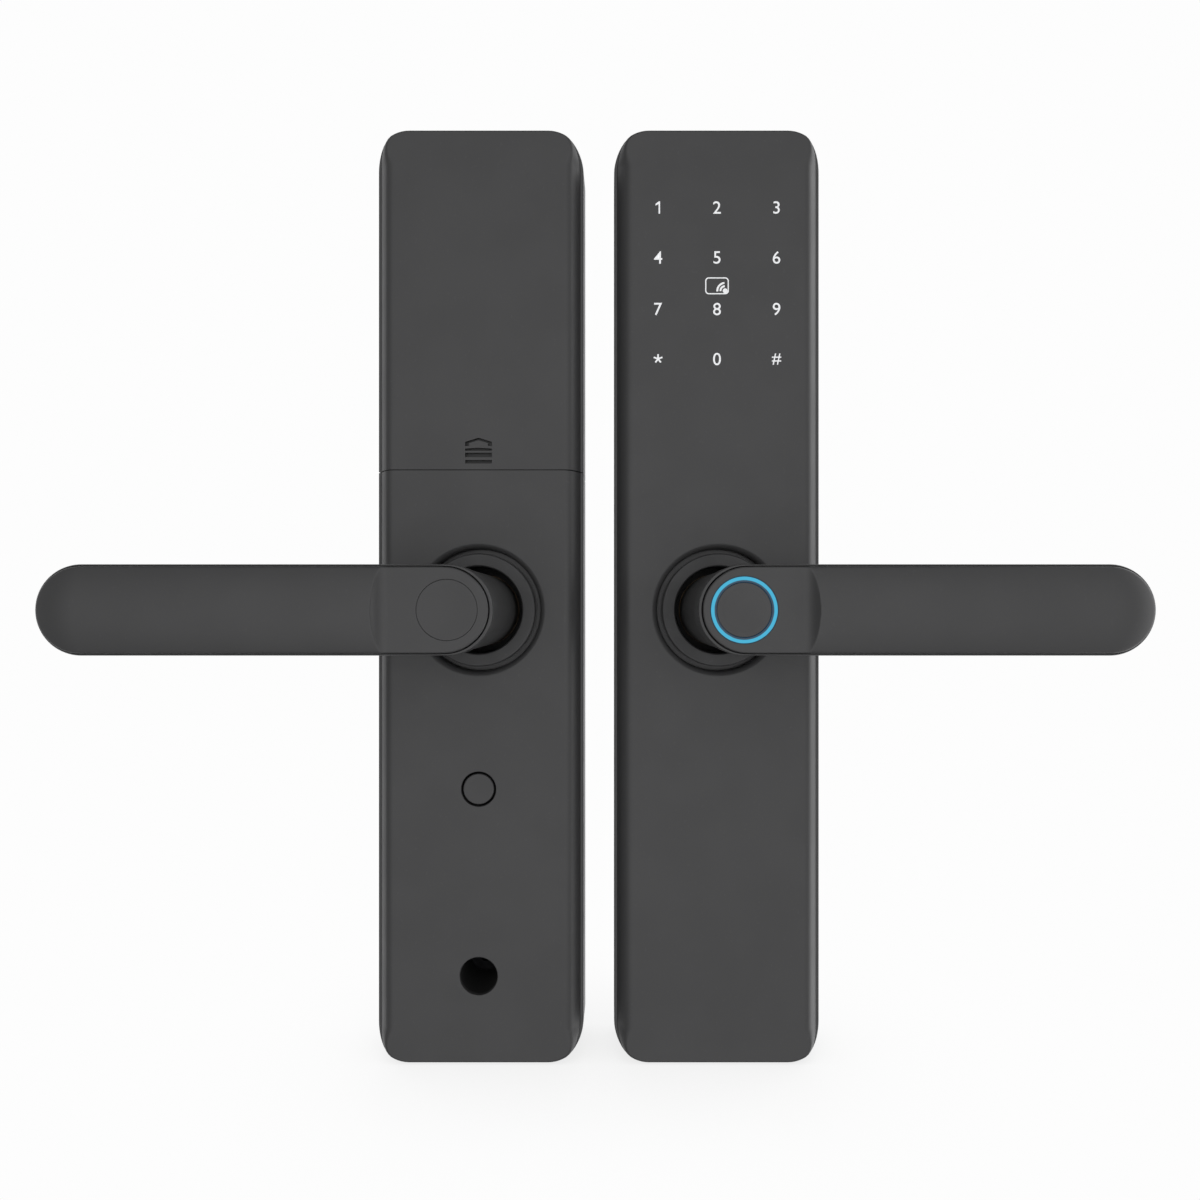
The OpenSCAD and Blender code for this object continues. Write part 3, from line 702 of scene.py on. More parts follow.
@dataclass(frozen=True)
class Glow:
    """Lit plastic ring round an axis square to the door: brightest in the middle of its width."""

    name: str
    middle: float = 0.008
    half: float = 0.00047
    lit: Colour = (0.03, 0.43, 0.66)
    edge: Colour = (0.008, 0.03, 0.06)
    power: float = 0.8

    def build(self) -> bpy.types.Material:
        """Makes the material."""
        material, tree, shader, spot = new_finish(self.name)
        off = tree.math("ABSOLUTE", tree.math("SUBTRACT", tree.reach(spot), self.middle))
        cloud = tree.add("ShaderNodeTexNoise", Vector=spot, Scale=700.0, Detail=2.0)
        soft = tree.math("ADD", tree.math("DIVIDE", off, self.half),
                         tree.math("MULTIPLY", tree.math("SUBTRACT", cloud.outputs[0], 0.5), 0.2))
        colour = tree.mix(tree.span(soft, 0.7, 1.15, 0.0, 1.0), rgba(self.lit), rgba(self.edge))
        tree.link(colour, shader.inputs["Emission Color"])
        tree.link(tree.mix(0.8, colour, rgba((0.02, 0.03, 0.04))), shader.inputs["Base Color"])
        tree.link(tree.span(cloud.outputs[0], 0.3, 0.7, 0.3, 0.42), shader.inputs["Roughness"])
        shader.inputs["Emission Strength"].default_value = self.power
        return material


@dataclass(frozen=True)
class Ink:
    """Printed or milky white: even, with a faint dither at its edges."""

    name: str
    colour: Colour
    shade: Colour
    power: float = 0.0

    def build(self) -> bpy.types.Material:
        """Makes the material."""
        material, tree, shader, spot = new_finish(self.name)
        dots = tree.add("ShaderNodeTexNoise", Vector=spot, Scale=3000.0, Detail=2.0)
        cloudy = tree.span(dots.outputs[0], 0.35, 0.7, 0.0, 1.0)
        colour = tree.mix(cloudy, rgba(self.colour), rgba(self.shade))
        tree.link(colour, shader.inputs["Base Color"])
        tree.link(tree.span(dots.outputs[0], 0.3, 0.7, 0.45, 0.6), shader.inputs["Roughness"])
        if self.power:
            tree.link(colour, shader.inputs["Emission Color"])
            shader.inputs["Emission Strength"].default_value = self.power
        return material


@dataclass(frozen=True)
class Wrap:
    """Printed foil or film: bands along the height, with fine scuffs."""

    name: str
    first: Colour
    second: Colour
    pitch: float
    share: float
    metallic: float = 0.0
    rough: float = 0.3

    def build(self) -> bpy.types.Material:
        """Makes the material."""
        material, tree, shader, spot = new_finish(self.name)
        apart = tree.add("ShaderNodeSeparateXYZ", Vector=spot)
        grain = tree.add("ShaderNodeGroup", {"node_tree": GRAIN}, Place=spot, Grain=1800.0, Cloud=220.0)
        phase = tree.math("FRACT", tree.math("DIVIDE", tree.math("ADD", apart.outputs["Z"], 1.0), self.pitch))
        band = tree.span(phase, self.share - 0.01, self.share + 0.01, 0.0, 1.0)
        scuffs = tree.math("MULTIPLY", grain.outputs["Tone"], 0.25)
        worn = tree.mix(scuffs, rgba(self.first), rgba(self.second))
        tree.link(tree.mix(band, worn, rgba(self.second)), shader.inputs["Base Color"])
        tree.link(tree.span(grain.outputs["Tone"], 0.0, 1.0, self.rough, self.rough + 0.15),
                            shader.inputs["Roughness"])
        bump = tree.add("ShaderNodeBump", Strength=0.06, Distance=0.00004, Height=grain.outputs["Height"])
        tree.link(bump.outputs[0], shader.inputs["Normal"])
        shader.inputs["Metallic"].default_value = self.metallic
        return material


@dataclass
class Finishes:
    """Every finish by its slot name."""

    made: dict[str, bpy.types.Material] = field(default_factory=dict)

    def build(self) -> "Finishes":
        """Makes all materials.

        Returns:
            Itself.
        """
        recipes = (
            Coat("powder_coat", (0.0425, 0.0425, 0.043), (0.0445, 0.0445, 0.045), rough_low=0.37,
                 rough_high=0.41, bump=0.14, speck=0.12,
                 # painted shade inside the two hub cups, the bolt access hole, the button guide and the grip
                 # mark's engravings
                 bore_shades=(BoreShade(0.0, 0.0, 15.8, 19.4), BoreShade(INSIDE_X, 0.0, 15.8, 19.4),
                        BoreShade(INSIDE_X, LOWER_BOLT_Z, 6.3, 21.6), BoreShade(INSIDE_X, BUTTON_Z, 5.8, 21.7),
                        BoreShade(INSIDE_X, SEAM_Z + 6, 5.3, 21.7))),
            Coat("lever_coat", (0.0435, 0.0435, 0.044), (0.0455, 0.0455, 0.046), rough_low=0.36,
                 rough_high=0.4, grain=3200.0, bump=0.08, speck=0.08),
            Coat("ring_coat", (0.030, 0.030, 0.0305), (0.036, 0.036, 0.0365), rough_low=0.4,
                 rough_high=0.5, bump=0.14),
            Coat("black_plastic", (0.018, 0.018, 0.019), (0.026, 0.026, 0.027), rough_low=0.45,
                 rough_high=0.6, grain=1500.0, bump=0.25, speck=0.1),
            Coat("rubber", (0.012, 0.012, 0.012), (0.02, 0.02, 0.02), rough_low=0.7, rough_high=0.85,
                 grain=900.0, bump=0.3, speck=0.35),
            Coat("sensor_glass", (0.036, 0.036, 0.0365), (0.042, 0.042, 0.0425), rough_low=0.36,
                 rough_high=0.44, grain=4200.0, bump=0.04, speck=0.05, coat=0.12),
            Ink("white_legend", (0.86, 0.87, 0.88), (0.7, 0.71, 0.72), 0.35),
            Ink("diffuser", (0.75, 0.77, 0.78), (0.6, 0.62, 0.64)),
            Board("circuit_board"),
            # black oxide steel for the through bolts; its darkness also stands in for the shade deep in the
            # holes where the bolts are seen
            Metal("black_steel", (0.012, 0.012, 0.013), (0.03, 0.03, 0.032), rough_low=0.4, rough_high=0.55),
            Metal("copper", (0.6, 0.25, 0.12), (0.85, 0.42, 0.24), stretch=(1.0, 1.0, 1.0)),
            Metal("zinc_steel", (0.42, 0.43, 0.44), (0.6, 0.61, 0.62), rough_low=0.3, rough_high=0.5,
                  stretch=(1.0, 1.0, 6.0)),
            Metal("bright_steel", (0.52, 0.53, 0.55), (0.7, 0.71, 0.72), rough_low=0.16, rough_high=0.3),
            Metal("spring_steel", (0.3, 0.3, 0.31), (0.5, 0.5, 0.51), rough_low=0.22, rough_high=0.36),
            Metal("bearing_bronze", (0.05, 0.035, 0.022), (0.09, 0.062, 0.035), rough_low=0.3,
                  rough_high=0.5, stretch=(1.0, 1.0, 1.0), bump=0.3),
            Glow("blue_light"),
            Wrap("flat_cable", (0.5, 0.2, 0.03), (0.62, 0.32, 0.1), pitch=0.0015, share=0.6, rough=0.35),
            Wrap("cell_wrap", (0.015, 0.016, 0.018), (0.32, 0.34, 0.36), pitch=0.0495, share=0.82,
                 metallic=0.6, rough=0.28),
        )
        for recipe in recipes:
            self.made[recipe.name] = recipe.build()
        return self

    def dress_frame(self) -> None:
        """Gives every carried-over node the finish that its slot names."""
        slots = {part["node"]: part["material_slot"] for part in frame["record"]["subparts"]}
        for name, item in frame["nodes"].items():
            item.data.materials.clear()
            item.data.materials.append(self.made[slots[name]])

    def place(self, name: str, data: bpy.types.Mesh, body: str, slot: str, *nodes: str) -> None:
        """Dresses a finished mesh and puts it on its body.

        Args:
            name: the piece's name.
            data: its mesh.
            body: the body it moves with.
            slot: its finish, which is also the record's material slot.
            nodes: the nodes it stands for.
        """
        piece = linked(name, data)
        data.materials.clear()
        data.materials.append(self.made[slot])
        data.polygons.foreach_set("material_index", [0] * len(data.polygons))
        data.polygons.foreach_set("use_smooth", [True] * len(data.polygons))
        data.set_sharp_from_angle(angle=SHARP_EDGE)
        piece.modifiers.new("even_normals", "WEIGHTED_NORMAL").keep_sharp = True
        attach(piece, body)
        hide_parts(*nodes)
        log.info("%s on %s: %d faces", name, body, len(data.polygons))


# ------------------------------------------------------------------ the plates


@dataclass
class PlateShape:
    """A plate with two rolled long edges and rounded corners, or one of its inner hollows."""

    x: float
    low: float
    high: float
    back: float = RIM_T
    front: float = FRONT_T
    width: float = WIDTH
    corner: float = CORNER_R
    near: float = 4.2
    far: float = 10.1
    turn: float = 42.0
    steep: float = 65.0
    ledge: float = 0.9
    soften: float = 0.9
    low_end: End = End.ROUND
    high_end: End = End.ROUND
    tuck: float = 3.5
    narrowed: float = 1.05

    def outline(self, side: float, depth: float) -> list[Point3]:
        """Gives one ring; round the corners the edge shrinks from the wide roll to the small fillet.

        Args:
            side: how far the long sides are taken in.
            depth: where the ring lies along the long sides.

        Returns:
            Its points, anticlockwise from the lower right corner.
        """
        foot = self.front - self.drop()
        share = max(0.0, self.front - depth) / self.drop()
        at_end = self.front - self.soften * share
        if share > 1:
            down = (depth - self.back) / (foot - self.back)
            at_end = self.back + (self.front - self.soften - self.back) * down
        rest = self.soften * (1 - min(share, 1.0))
        taken = self.soften - math.sqrt(max(self.soften ** 2 - rest ** 2, 0.0))
        corner = self.corner - self.tuck * max(0.0, min(1.0, (foot - depth) / (foot - self.back)))
        out = []
        for k, (sx, sz) in enumerate(((1, -1), (1, 1), (-1, 1), (-1, -1))):
            limit = self.low if sz < 0 else self.high
            arc = [math.pi / 2 * i / 14 for i in range(15)]
            for a in arc if k % 2 else reversed(arc):
                if (self.low_end if sz < 0 else self.high_end) is End.CUT:
                    r, t, cx, cz = CUT_R, depth, self.width / 2 - side - CUT_R, limit - sz * CUT_R
                else:
                    w = ease(a, 0.0, self.narrowed)
                    r, t = corner - side * (1 - w) - taken * w, depth + (at_end - depth) * w
                    cx, cz = self.width / 2 - corner, limit - sz * corner
                out.append((self.x + sx * (cx + r * math.cos(a)), t, cz + sz * r * math.sin(a)))
        return out

    def drop(self) -> float:
        """Gives the depth of the roll, from the flat front to its foot."""
        turn, steep = math.radians(self.turn), math.radians(max(self.steep, self.turn))
        return self.near * (1 - math.cos(turn)) + self.far * (math.cos(turn) - math.cos(steep))

    def profile(self) -> list[Point2]:
        """Gives the long side's (inset, depth): wall, narrow ledge, steep slope and soft shoulder."""
        turn, steep = math.radians(self.turn), math.radians(self.steep)
        wide = self.near * math.sin(turn) + self.far * (math.sin(steep) - math.sin(turn))
        shoulder = []
        for i in range(15):
            a = turn * i / 14
            shoulder.append((self.ledge + wide - self.near * math.sin(a),
                             self.front - self.near * (1 - math.cos(a))))
        at, down = shoulder[-1]
        for i in range(1, 7) if steep > turn else ():
            a = turn + (steep - turn) * i / 6
            shoulder.append((at - self.far * (math.sin(a) - math.sin(turn)),
                             down - self.far * (math.cos(turn) - math.cos(a))))
        foot = shoulder[-1][1]
        edge = quarter(0.0, foot - 0.4, 0.4, foot, 4, False) if self.ledge else [(0.0, foot - 0.1)]
        return [(0.0, self.back), (0.0, (self.back + foot) / 2), *edge, *reversed(shoulder)]

    def rings(self, skin: Skin) -> list[list[int]]:
        """Adds the sides and the rolled edges.

        Args:
            skin: the piece that takes them.

        Returns:
            The rings from the back to the edge of the flat front.
        """
        rings = [skin.ring(self.outline(side, depth)) for side, depth in self.profile()]
        skin.bridge(rings)
        return rings

    def solid(self, name: str) -> bpy.types.Mesh:
        """Makes the plate as one closed body.

        Args:
            name: the mesh's name.

        Returns:
            The mesh.
        """
        skin = Skin()
        rings = self.rings(skin)
        skin.fill(rings[0])
        skin.fill(rings[-1])
        return skin.mesh(name)


def hollow(x: float, low: float, high: float, wall: float, front: float, back: float,
           low_end: End = End.ROUND, high_end: End = End.ROUND) -> PlateShape:
    """Gives the inner hollow of a plate, with plain rounded edges.

    Args:
        x: its middle.
        low: its lower end.
        high: its upper end.
        wall: the side wall.
        front: depth of its front.
        back: depth of its open back.
        low_end: how the lower end is finished.
        high_end: how the upper end is finished.

    Returns:
        The shape.
    """
    r = EDGE_R - wall
    return PlateShape(x, low, high, back, front, width=WIDTH - 2 * wall, corner=CORNER_R - wall, near=r,
                      far=r, turn=90.0, steep=90.0, ledge=0.0, soften=0.6, low_end=low_end, high_end=high_end)


@dataclass
class Opening:
    """A round opening through the front of a housing, as a turned wall from front to roof."""

    x: float
    z: float
    profile: list[Point2]


@dataclass
class Hub:
    """The seat of a lever: soft lip, recess, clear hole, cup and bearing floor."""

    lip: float = 1.8
    lip_drop: float = 1.9
    moat: float = 19.25
    moat_in: float = 17.95
    moat_t: float = 18.2
    recess: float = 19.5
    hole: float = 13.7
    floor: float = 11.4
    bush: float = 10.0
    cup_end: float = 9.4
    cup: float = 15.7
    collar: float = 22.5
    collar_t: float = 17.0

    def opening(self, x: float) -> Opening:
        """Gives the wall of the seat.

        Args:
            x: the lever's axis.

        Returns:
            The opening.
        """
        wall = quarter(self.moat + self.lip, FRONT_T, self.moat, FRONT_T - self.lip_drop, 9)
        wall += [(self.moat - 0.05, self.moat_t), (self.moat_in, self.moat_t), (self.moat_in, self.recess),
                 (self.hole + 0.1, self.recess), (self.hole, self.recess - 0.1), (self.hole, self.floor),
                 (self.bush, self.floor), (self.bush, self.cup_end), (self.cup, self.cup_end),
                 (self.cup, self.collar_t), (self.collar, self.collar_t), (self.collar, ROOF_T)]
        return Opening(x, 0.0, wall)


@dataclass(frozen=True)
class Post:
    """A screw post that hangs from the roof, blind at the front."""

    radius: float
    end_t: float
    bore: float
    bottom_t: float

    def at(self, x: float, z: float) -> Opening:
        """Gives the post as an opening without a mouth.

        Args:
            x: place.
            z: place.

        Returns:
            The opening.
        """
        return Opening(x, z, [(0.001, self.bottom_t), (self.bore, self.bottom_t), (self.bore, self.end_t),
                              (self.radius, self.end_t), (self.radius, ROOF_T)])


def housing(name: str, outer: PlateShape, inner: PlateShape, through: Sequence[Opening],
            posts: Sequence[Opening]) -> bpy.types.Mesh:
    """Makes a hollow shell, open at the back.

    Args:
        name: the mesh's name.
        outer: its outside.
        inner: its hollow.
        through: openings in its front.
        posts: posts behind its front.

    Returns:
        The mesh.
    """
    skin = Skin()
    outside, inside = outer.rings(skin), inner.rings(skin)
    skin.bridge([outside[0], inside[0]])
    mouths, roots = [], []
    for item in through:
        rings = skin.lathe(item.x, item.z, item.profile)
        mouths.append(rings[0])
        roots.append(rings[-1])
    for item in posts:
        rings = skin.lathe(item.x, item.z, item.profile, 32)
        skin.faces.append(tuple(rings[0]))
        roots.append(rings[-1])
    skin.fill(outside[-1], *mouths)
    skin.fill(inside[-1], *roots)
    return skin.mesh(name)


@dataclass
class RoseRing:
    """Flat ring in the recess round a lever's clear hole."""

    radius: float = 17.8
    hole: float = 13.7
    back: float = 19.5
    front: float = 22.4
    inner_edge: float = 0.5
    outer_edge: float = 0.7

    def build(self, x: float, name: str) -> bpy.types.Mesh:
        """Makes the ring.

        Args:
            x: the lever's axis.
            name: the mesh's name.

        Returns:
            The mesh.
        """
        skin = Skin()
        low, out = self.front - self.inner_edge, self.radius - self.outer_edge
        profile = [(self.hole, self.back), (self.hole, low)]
        profile += quarter(self.hole, low, self.hole + self.inner_edge, self.front, 5, False)[1:]
        profile += quarter(out, self.front, self.radius, self.front - self.outer_edge, 6)
        profile += [(self.radius, self.back)]
        skin.tube(x, 0.0, profile, FINE_STEPS)
        return skin.mesh(name)


@dataclass
class OutsideUnit:
    """The unit outside the door: one-piece shell with keypad, and the parts behind it."""

    finishes: Finishes
    screw_x: float = 23.8
    screw_rows: tuple[float, ...] = (137.0, 42.5, -62.0, -128.5)
    board_x: float = 14.0
    board_rows: tuple[float, ...] = (-108.0, -44.0)
    plate_post: Post = Post(radius=3.5, end_t=INNER_T, bore=1.25, bottom_t=12.0)
    board_post: Post = Post(radius=2.2, end_t=9.6, bore=0.95, bottom_t=14.0)
    socket_t: float = 11.0
    socket_width: float = 9.4
    socket_height: float = 3.6
    digit_height: float = 3.9
    hash_height: float = 3.5
    columns: tuple[float, ...] = (-19.0, -0.5, 18.2)
    rows: tuple[float, ...] = (126.4, 110.7, 94.5, 78.8)
    card_z: float = 101.8

    def shell(self) -> None:
        """Builds and dresses the housing, with the mouth of the power socket in its lower edge."""
        posts = [self.plate_post.at(sx * self.screw_x, z) for sx in (-1, 1) for z in self.screw_rows]
        posts += [self.board_post.at(sx * self.board_x, z) for sx in (-1, 1) for z in self.board_rows]
        inner = hollow(0.0, BOTTOM_Z + WALL, TOP_Z - WALL, WALL, ROOF_T, RIM_T)
        data = housing("outside_shell", PlateShape(0.0, BOTTOM_Z, TOP_Z), inner, [Hub().opening(0.0)], posts)
        outline = rounded(0.0, self.socket_t, self.socket_width, self.socket_height, 1.79, 8)
        mouth = Skin()
        rings = [mouth.ring((x, t, z) for x, t in outline) for z in (BOTTOM_Z - 1, BOTTOM_Z + WALL + 0.6)]
        mouth.bridge(rings)
        mouth.faces += [tuple(ring) for ring in rings]
        data = worked(data, [(Cut.AWAY, mouth.mesh("mouth"))])
        self.finishes.place("outside_shell", data, "units", "powder_coat", "outside_housing")
        self.finishes.place("outside_rose", RoseRing().build(0.0, "outside_rose"), "units", "ring_coat",
                            "outside_rose_ring")

    def character(self, letter: str, x: float, z: float, height: float) -> bpy.types.Mesh:
        """Draws one printed character on the front.

        Args:
            letter: the character.
            x: its middle.
            z: its middle.
            height: its height.

        Returns:
            The mesh, in its place.
        """
        curve = bpy.data.curves.new("character", "FONT")
        curve.body, curve.size, curve.extrude, curve.offset = letter, 1.0, 0.005, 0.003
        curve.resolution_u = 6
        data = plain(linked("character", curve))
        xs, ys = [v.co.x for v in data.vertices], [v.co.y for v in data.vertices]
        size = height * MM / (max(ys) - min(ys))
        mid_x, mid_y = (max(xs) + min(xs)) / 2, (max(ys) + min(ys)) / 2
        for vertex in data.vertices:
            u, v, w = vertex.co
            vertex.co = (x * MM + (u - mid_x) * size, -FRONT_T * MM - 0.00001 - w * 0.004,
                         z * MM + (v - mid_y) * size)
        return data

    def drawn(self, letter: str, x: float, z: float) -> bpy.types.Mesh:
        """Draws the one with its flag, or the five-armed star.

        Args:
            letter: which of them.
            x: its middle.
            z: its middle.

        Returns:
            The mesh.
        """
        skin = Skin()
        shape = [(0.15, -1.95), (0.62, -1.95), (0.62, 1.95), (0.25, 1.95), (-0.8, 1.15), (-0.8, 0.62),
                 (0.15, 1.1)]
        if letter == "*":
            shape = []
            for arm in range(5):
                for radius, off in ((1.45, -10), (1.45, 10), (0.42, 36)):
                    a = math.radians(90 + 72 * arm + off)
                    shape.append((radius * math.cos(a), 0.1 + radius * math.sin(a)))
        skin.stamp(PRINT_T, PRINT_BACK_T, [(x + u, z + v) for u, v in shape])
        return skin.mesh("drawn")

    def card(self) -> bpy.types.Mesh:
        """Draws the card symbol: a rounded frame with an opening, and two waves in it.

        Returns:
            The mesh.
        """
        skin = Skin()
        x, z = self.columns[1], self.card_z
        skin.stamp(PRINT_T, PRINT_BACK_T, rounded(x, z, 7.4, 5.3, 1.1), rounded(x, z, 6.7, 4.6, 0.8))
        from_x, from_z = x + 2.55, z - 1.55
        skin.stamp(PRINT_T, PRINT_BACK_T, disc(from_x, from_z, 0.75, 24))
        arc = [math.radians(95 + 90 * i / 10) for i in range(11)]
        for radius in (1.75, 2.75):
            wave = [(radius, a) for a in arc] + [(radius - 0.6, a) for a in reversed(arc)]
            skin.stamp(PRINT_T + 0.005, PRINT_BACK_T + 0.005,
                       [(from_x + r * math.cos(a), from_z + r * math.sin(a)) for r, a in wave])
        return skin.mesh("card")

    def legends(self) -> None:
        """Builds and dresses the printed characters and the card symbol as one piece."""
        bm = bmesh.new()
        for row, letters in zip(self.rows, ("123", "456", "789", "*0#")):
            for x, letter in zip(self.columns, letters):
                if letter in "1*":
                    bm.from_mesh(self.drawn(letter, x, row))
                    continue
                height = self.hash_height if letter == "#" else self.digit_height
                bm.from_mesh(self.character(letter, x, row, height))
        bm.from_mesh(self.card())
        bmesh.ops.remove_doubles(bm, verts=bm.verts, dist=1e-7)
        bmesh.ops.recalc_face_normals(bm, faces=bm.faces)
        data = bpy.data.meshes.new("legends")
        bm.to_mesh(data)
        bm.free()
        self.finishes.place("legends", data, "units", "white_legend", "keypad_legends")


@dataclass
class InsideUnit:
    """The unit inside the door: lower shell with chassis, sliding battery cover and button."""

    finishes: Finishes
    gap: float = 0.24
    mark_deep: float = 1.1
    access: float = 5.9
    seat_t: float = 6.0
    guide: float = 5.45
    guide_t: float = 17.0
    button: float = 4.85
    stem: float = 1.6
    stem_t: float = 14.3
    board_x: float = 15.0
    board_rows: tuple[float, ...] = (-78.3, -42.3)
    board_post: Post = Post(radius=2.2, end_t=11.2, bore=0.95, bottom_t=15.6)
    bolt_hole: float = 2.75
    chassis_t: float = 3.5
    cover_wall: float = 2.0

    def shell(self) -> None:
        """Builds and dresses the lower shell with its chassis."""
        top = SEAM_Z - self.gap / 2
        outer = PlateShape(INSIDE_X, BOTTOM_Z, top, high_end=End.CUT)
        inner = hollow(INSIDE_X, BOTTOM_Z + WALL, top - WALL, WALL, ROOF_T, RIM_T, high_end=End.CUT)
        mouth = quarter(self.access + 0.35, FRONT_T, self.access, FRONT_T - 0.35, 4)
        bolt = Opening(INSIDE_X, LOWER_BOLT_Z, mouth + [
            (self.access, self.seat_t), (self.bolt_hole, self.seat_t), (self.bolt_hole, RIM_T),
            (self.access + 2, RIM_T), (self.access + 2, ROOF_T)])
        rim = quarter(self.guide + 0.25, FRONT_T, self.guide, FRONT_T - 0.25, 4)
        guide = Opening(INSIDE_X, BUTTON_Z, rim + [
            (self.guide, self.guide_t), (self.guide + 1.6, self.guide_t), (self.guide + 1.6, ROOF_T)])
        posts = [self.board_post.at(INSIDE_X + sx * self.board_x, z) for sx in (-1, 1)
                 for z in self.board_rows]
        data = housing("inside_shell", outer, inner, [Hub().opening(INSIDE_X), bolt, guide], posts)
        data = worked(data, [(Cut.JOIN, self.chassis(top - 0.5))])
        self.finishes.place("inside_shell", data, "units", "powder_coat", "inside_housing")
        self.finishes.place("inside_rose", RoseRing().build(INSIDE_X, "inside_rose"), "units", "ring_coat",
                            "inside_rose_ring")

    def chassis(self, low: float) -> bpy.types.Mesh:
        """Makes the plate behind the battery bay, with the hole of the upper bolt.

        Args:
            low: its lower end.

        Returns:
            The mesh.
        """
        skin = Skin()
        plate = hollow(INSIDE_X, low, TOP_Z - 2.4, 2.4, self.chassis_t, RIM_T, End.CUT)
        plate.near = plate.soften = 0.3
        rings = plate.rings(skin)
        round_hole = disc(INSIDE_X, UPPER_BOLT_Z, self.bolt_hole, 32)
        holes = [skin.ring((x, t, z) for x, z in round_hole) for t in (self.chassis_t, RIM_T)]
        skin.bridge(holes)
        skin.fill(rings[-1], holes[0])
        skin.fill(rings[0], holes[1])
        return skin.mesh("chassis")

    def grip_mark(self, skin: Skin) -> list[list[int]]:
        """Engraves three bars under a roof-shaped line.

        Args:
            skin: the cover.

        Returns:
            The mouths of the engravings.
        """
        x, z, half = INSIDE_X, SEAM_Z, 4.2
        loops = []
        for low, high, crown in ((2.0, 3.1, 0.0), (4.0, 5.4, 0.0), (6.0, 6.7, 0.25)):
            top = [(x + half - 2 * half * i / 8, z + high + crown * (1 - abs(i - 4) / 4)) for i in range(9)]
            loops.append([(x - half, z + low), (x + half, z + low)] + top)
        foot = half - 1.2
        loops.append([(x + u, z + v) for u, v in (
            (-half, 7.5), (-foot, 7.5), (-foot, 8.4), (0.0, 9.3), (foot, 8.4), (foot, 7.5),
            (half, 7.5), (half, 8.8), (0.0, 10.1), (-half, 8.8))])
        mouths = []
        for loop in loops:
            mouth = skin.ring((u, FRONT_T, v) for u, v in loop)
            floor = skin.ring((u, FRONT_T - self.mark_deep, v) for u, v in loop)
            skin.bridge([mouth, floor])
            skin.fill(floor)
            mouths.append(mouth)
        return mouths

    def cover(self) -> None:
        """Builds and dresses the sliding cover, open at its lower end, with its two guide ribs."""
        low, wall = SEAM_Z + self.gap / 2, self.cover_wall
        skin = Skin()
        outer = PlateShape(INSIDE_X, low, TOP_Z, RIM_T + 0.2, low_end=End.CUT).rings(skin)
        skin.fill(outer[0])
        skin.fill(outer[-1], *self.grip_mark(skin))
        inside = hollow(INSIDE_X, low - 4, TOP_Z - wall, wall, FRONT_T - wall, RIM_T - 1, End.CUT)
        tools = [(Cut.AWAY, inside.solid("inside"))]
        rib_low, rib_high = SEAM_Z + 3, TOP_Z - 13
        for side in (-1, 1):
            rib = Skin()
            rib.stamp(7.0, 6.0, rounded(INSIDE_X + side * 31.2, (rib_low + rib_high) / 2, 3.0,
                                        rib_high - rib_low, 0.4, 3))
            tools.append((Cut.JOIN, rib.mesh("rib")))
        data = worked(skin.mesh("cover"), tools)
        self.finishes.place("sliding_cover", data, "battery_cover", "powder_coat", "battery_cover")

    def press(self) -> None:
        """Builds and dresses the flush button with its flange and stem."""
        r, top, flange = self.button, FRONT_T - 0.05, self.guide_t - 1.3
        skin = Skin()
        profile = [(0.001, top - 0.12), (r * 0.55, top - 0.09), (r * 0.85, top - 0.02)]
        profile += quarter(r - 0.4, top, r, top - 0.4, 5)
        profile += [(r, flange + 1), (r + 1.55, flange + 1), (r + 1.55, flange), (self.stem, flange),
                    (self.stem, self.stem_t), (0.001, self.stem_t)]
        skin.turned(INSIDE_X, BUTTON_Z, profile)
        self.finishes.place("round_button", skin.mesh("round_button"), "privacy_button", "powder_coat",
                            "privacy_button")


# ------------------------------------------------------------------ the levers


def softest(a: float, b: float, width: float) -> float:
    """Takes the lower of two heights, with a rounded meeting.

    Args:
        a: first height.
        b: second height.
        width: size of the rounding.

    Returns:
        The height.
    """
    h = max(0.0, min(1.0, 0.5 + 0.5 * (b - a) / width))
    return b + (a - b) * h - width * h * (1 - h)


def ease(value: float, low: float, high: float) -> float:
    """Rises smoothly from 0 at low to 1 at high.

    Args:
        value: where.
        low: start.
        high: end.

    Returns:
        The share.
    """
    s = max(0.0, min(1.0, (value - low) / (high - low)))
    return s * s * (3 - 2 * s)


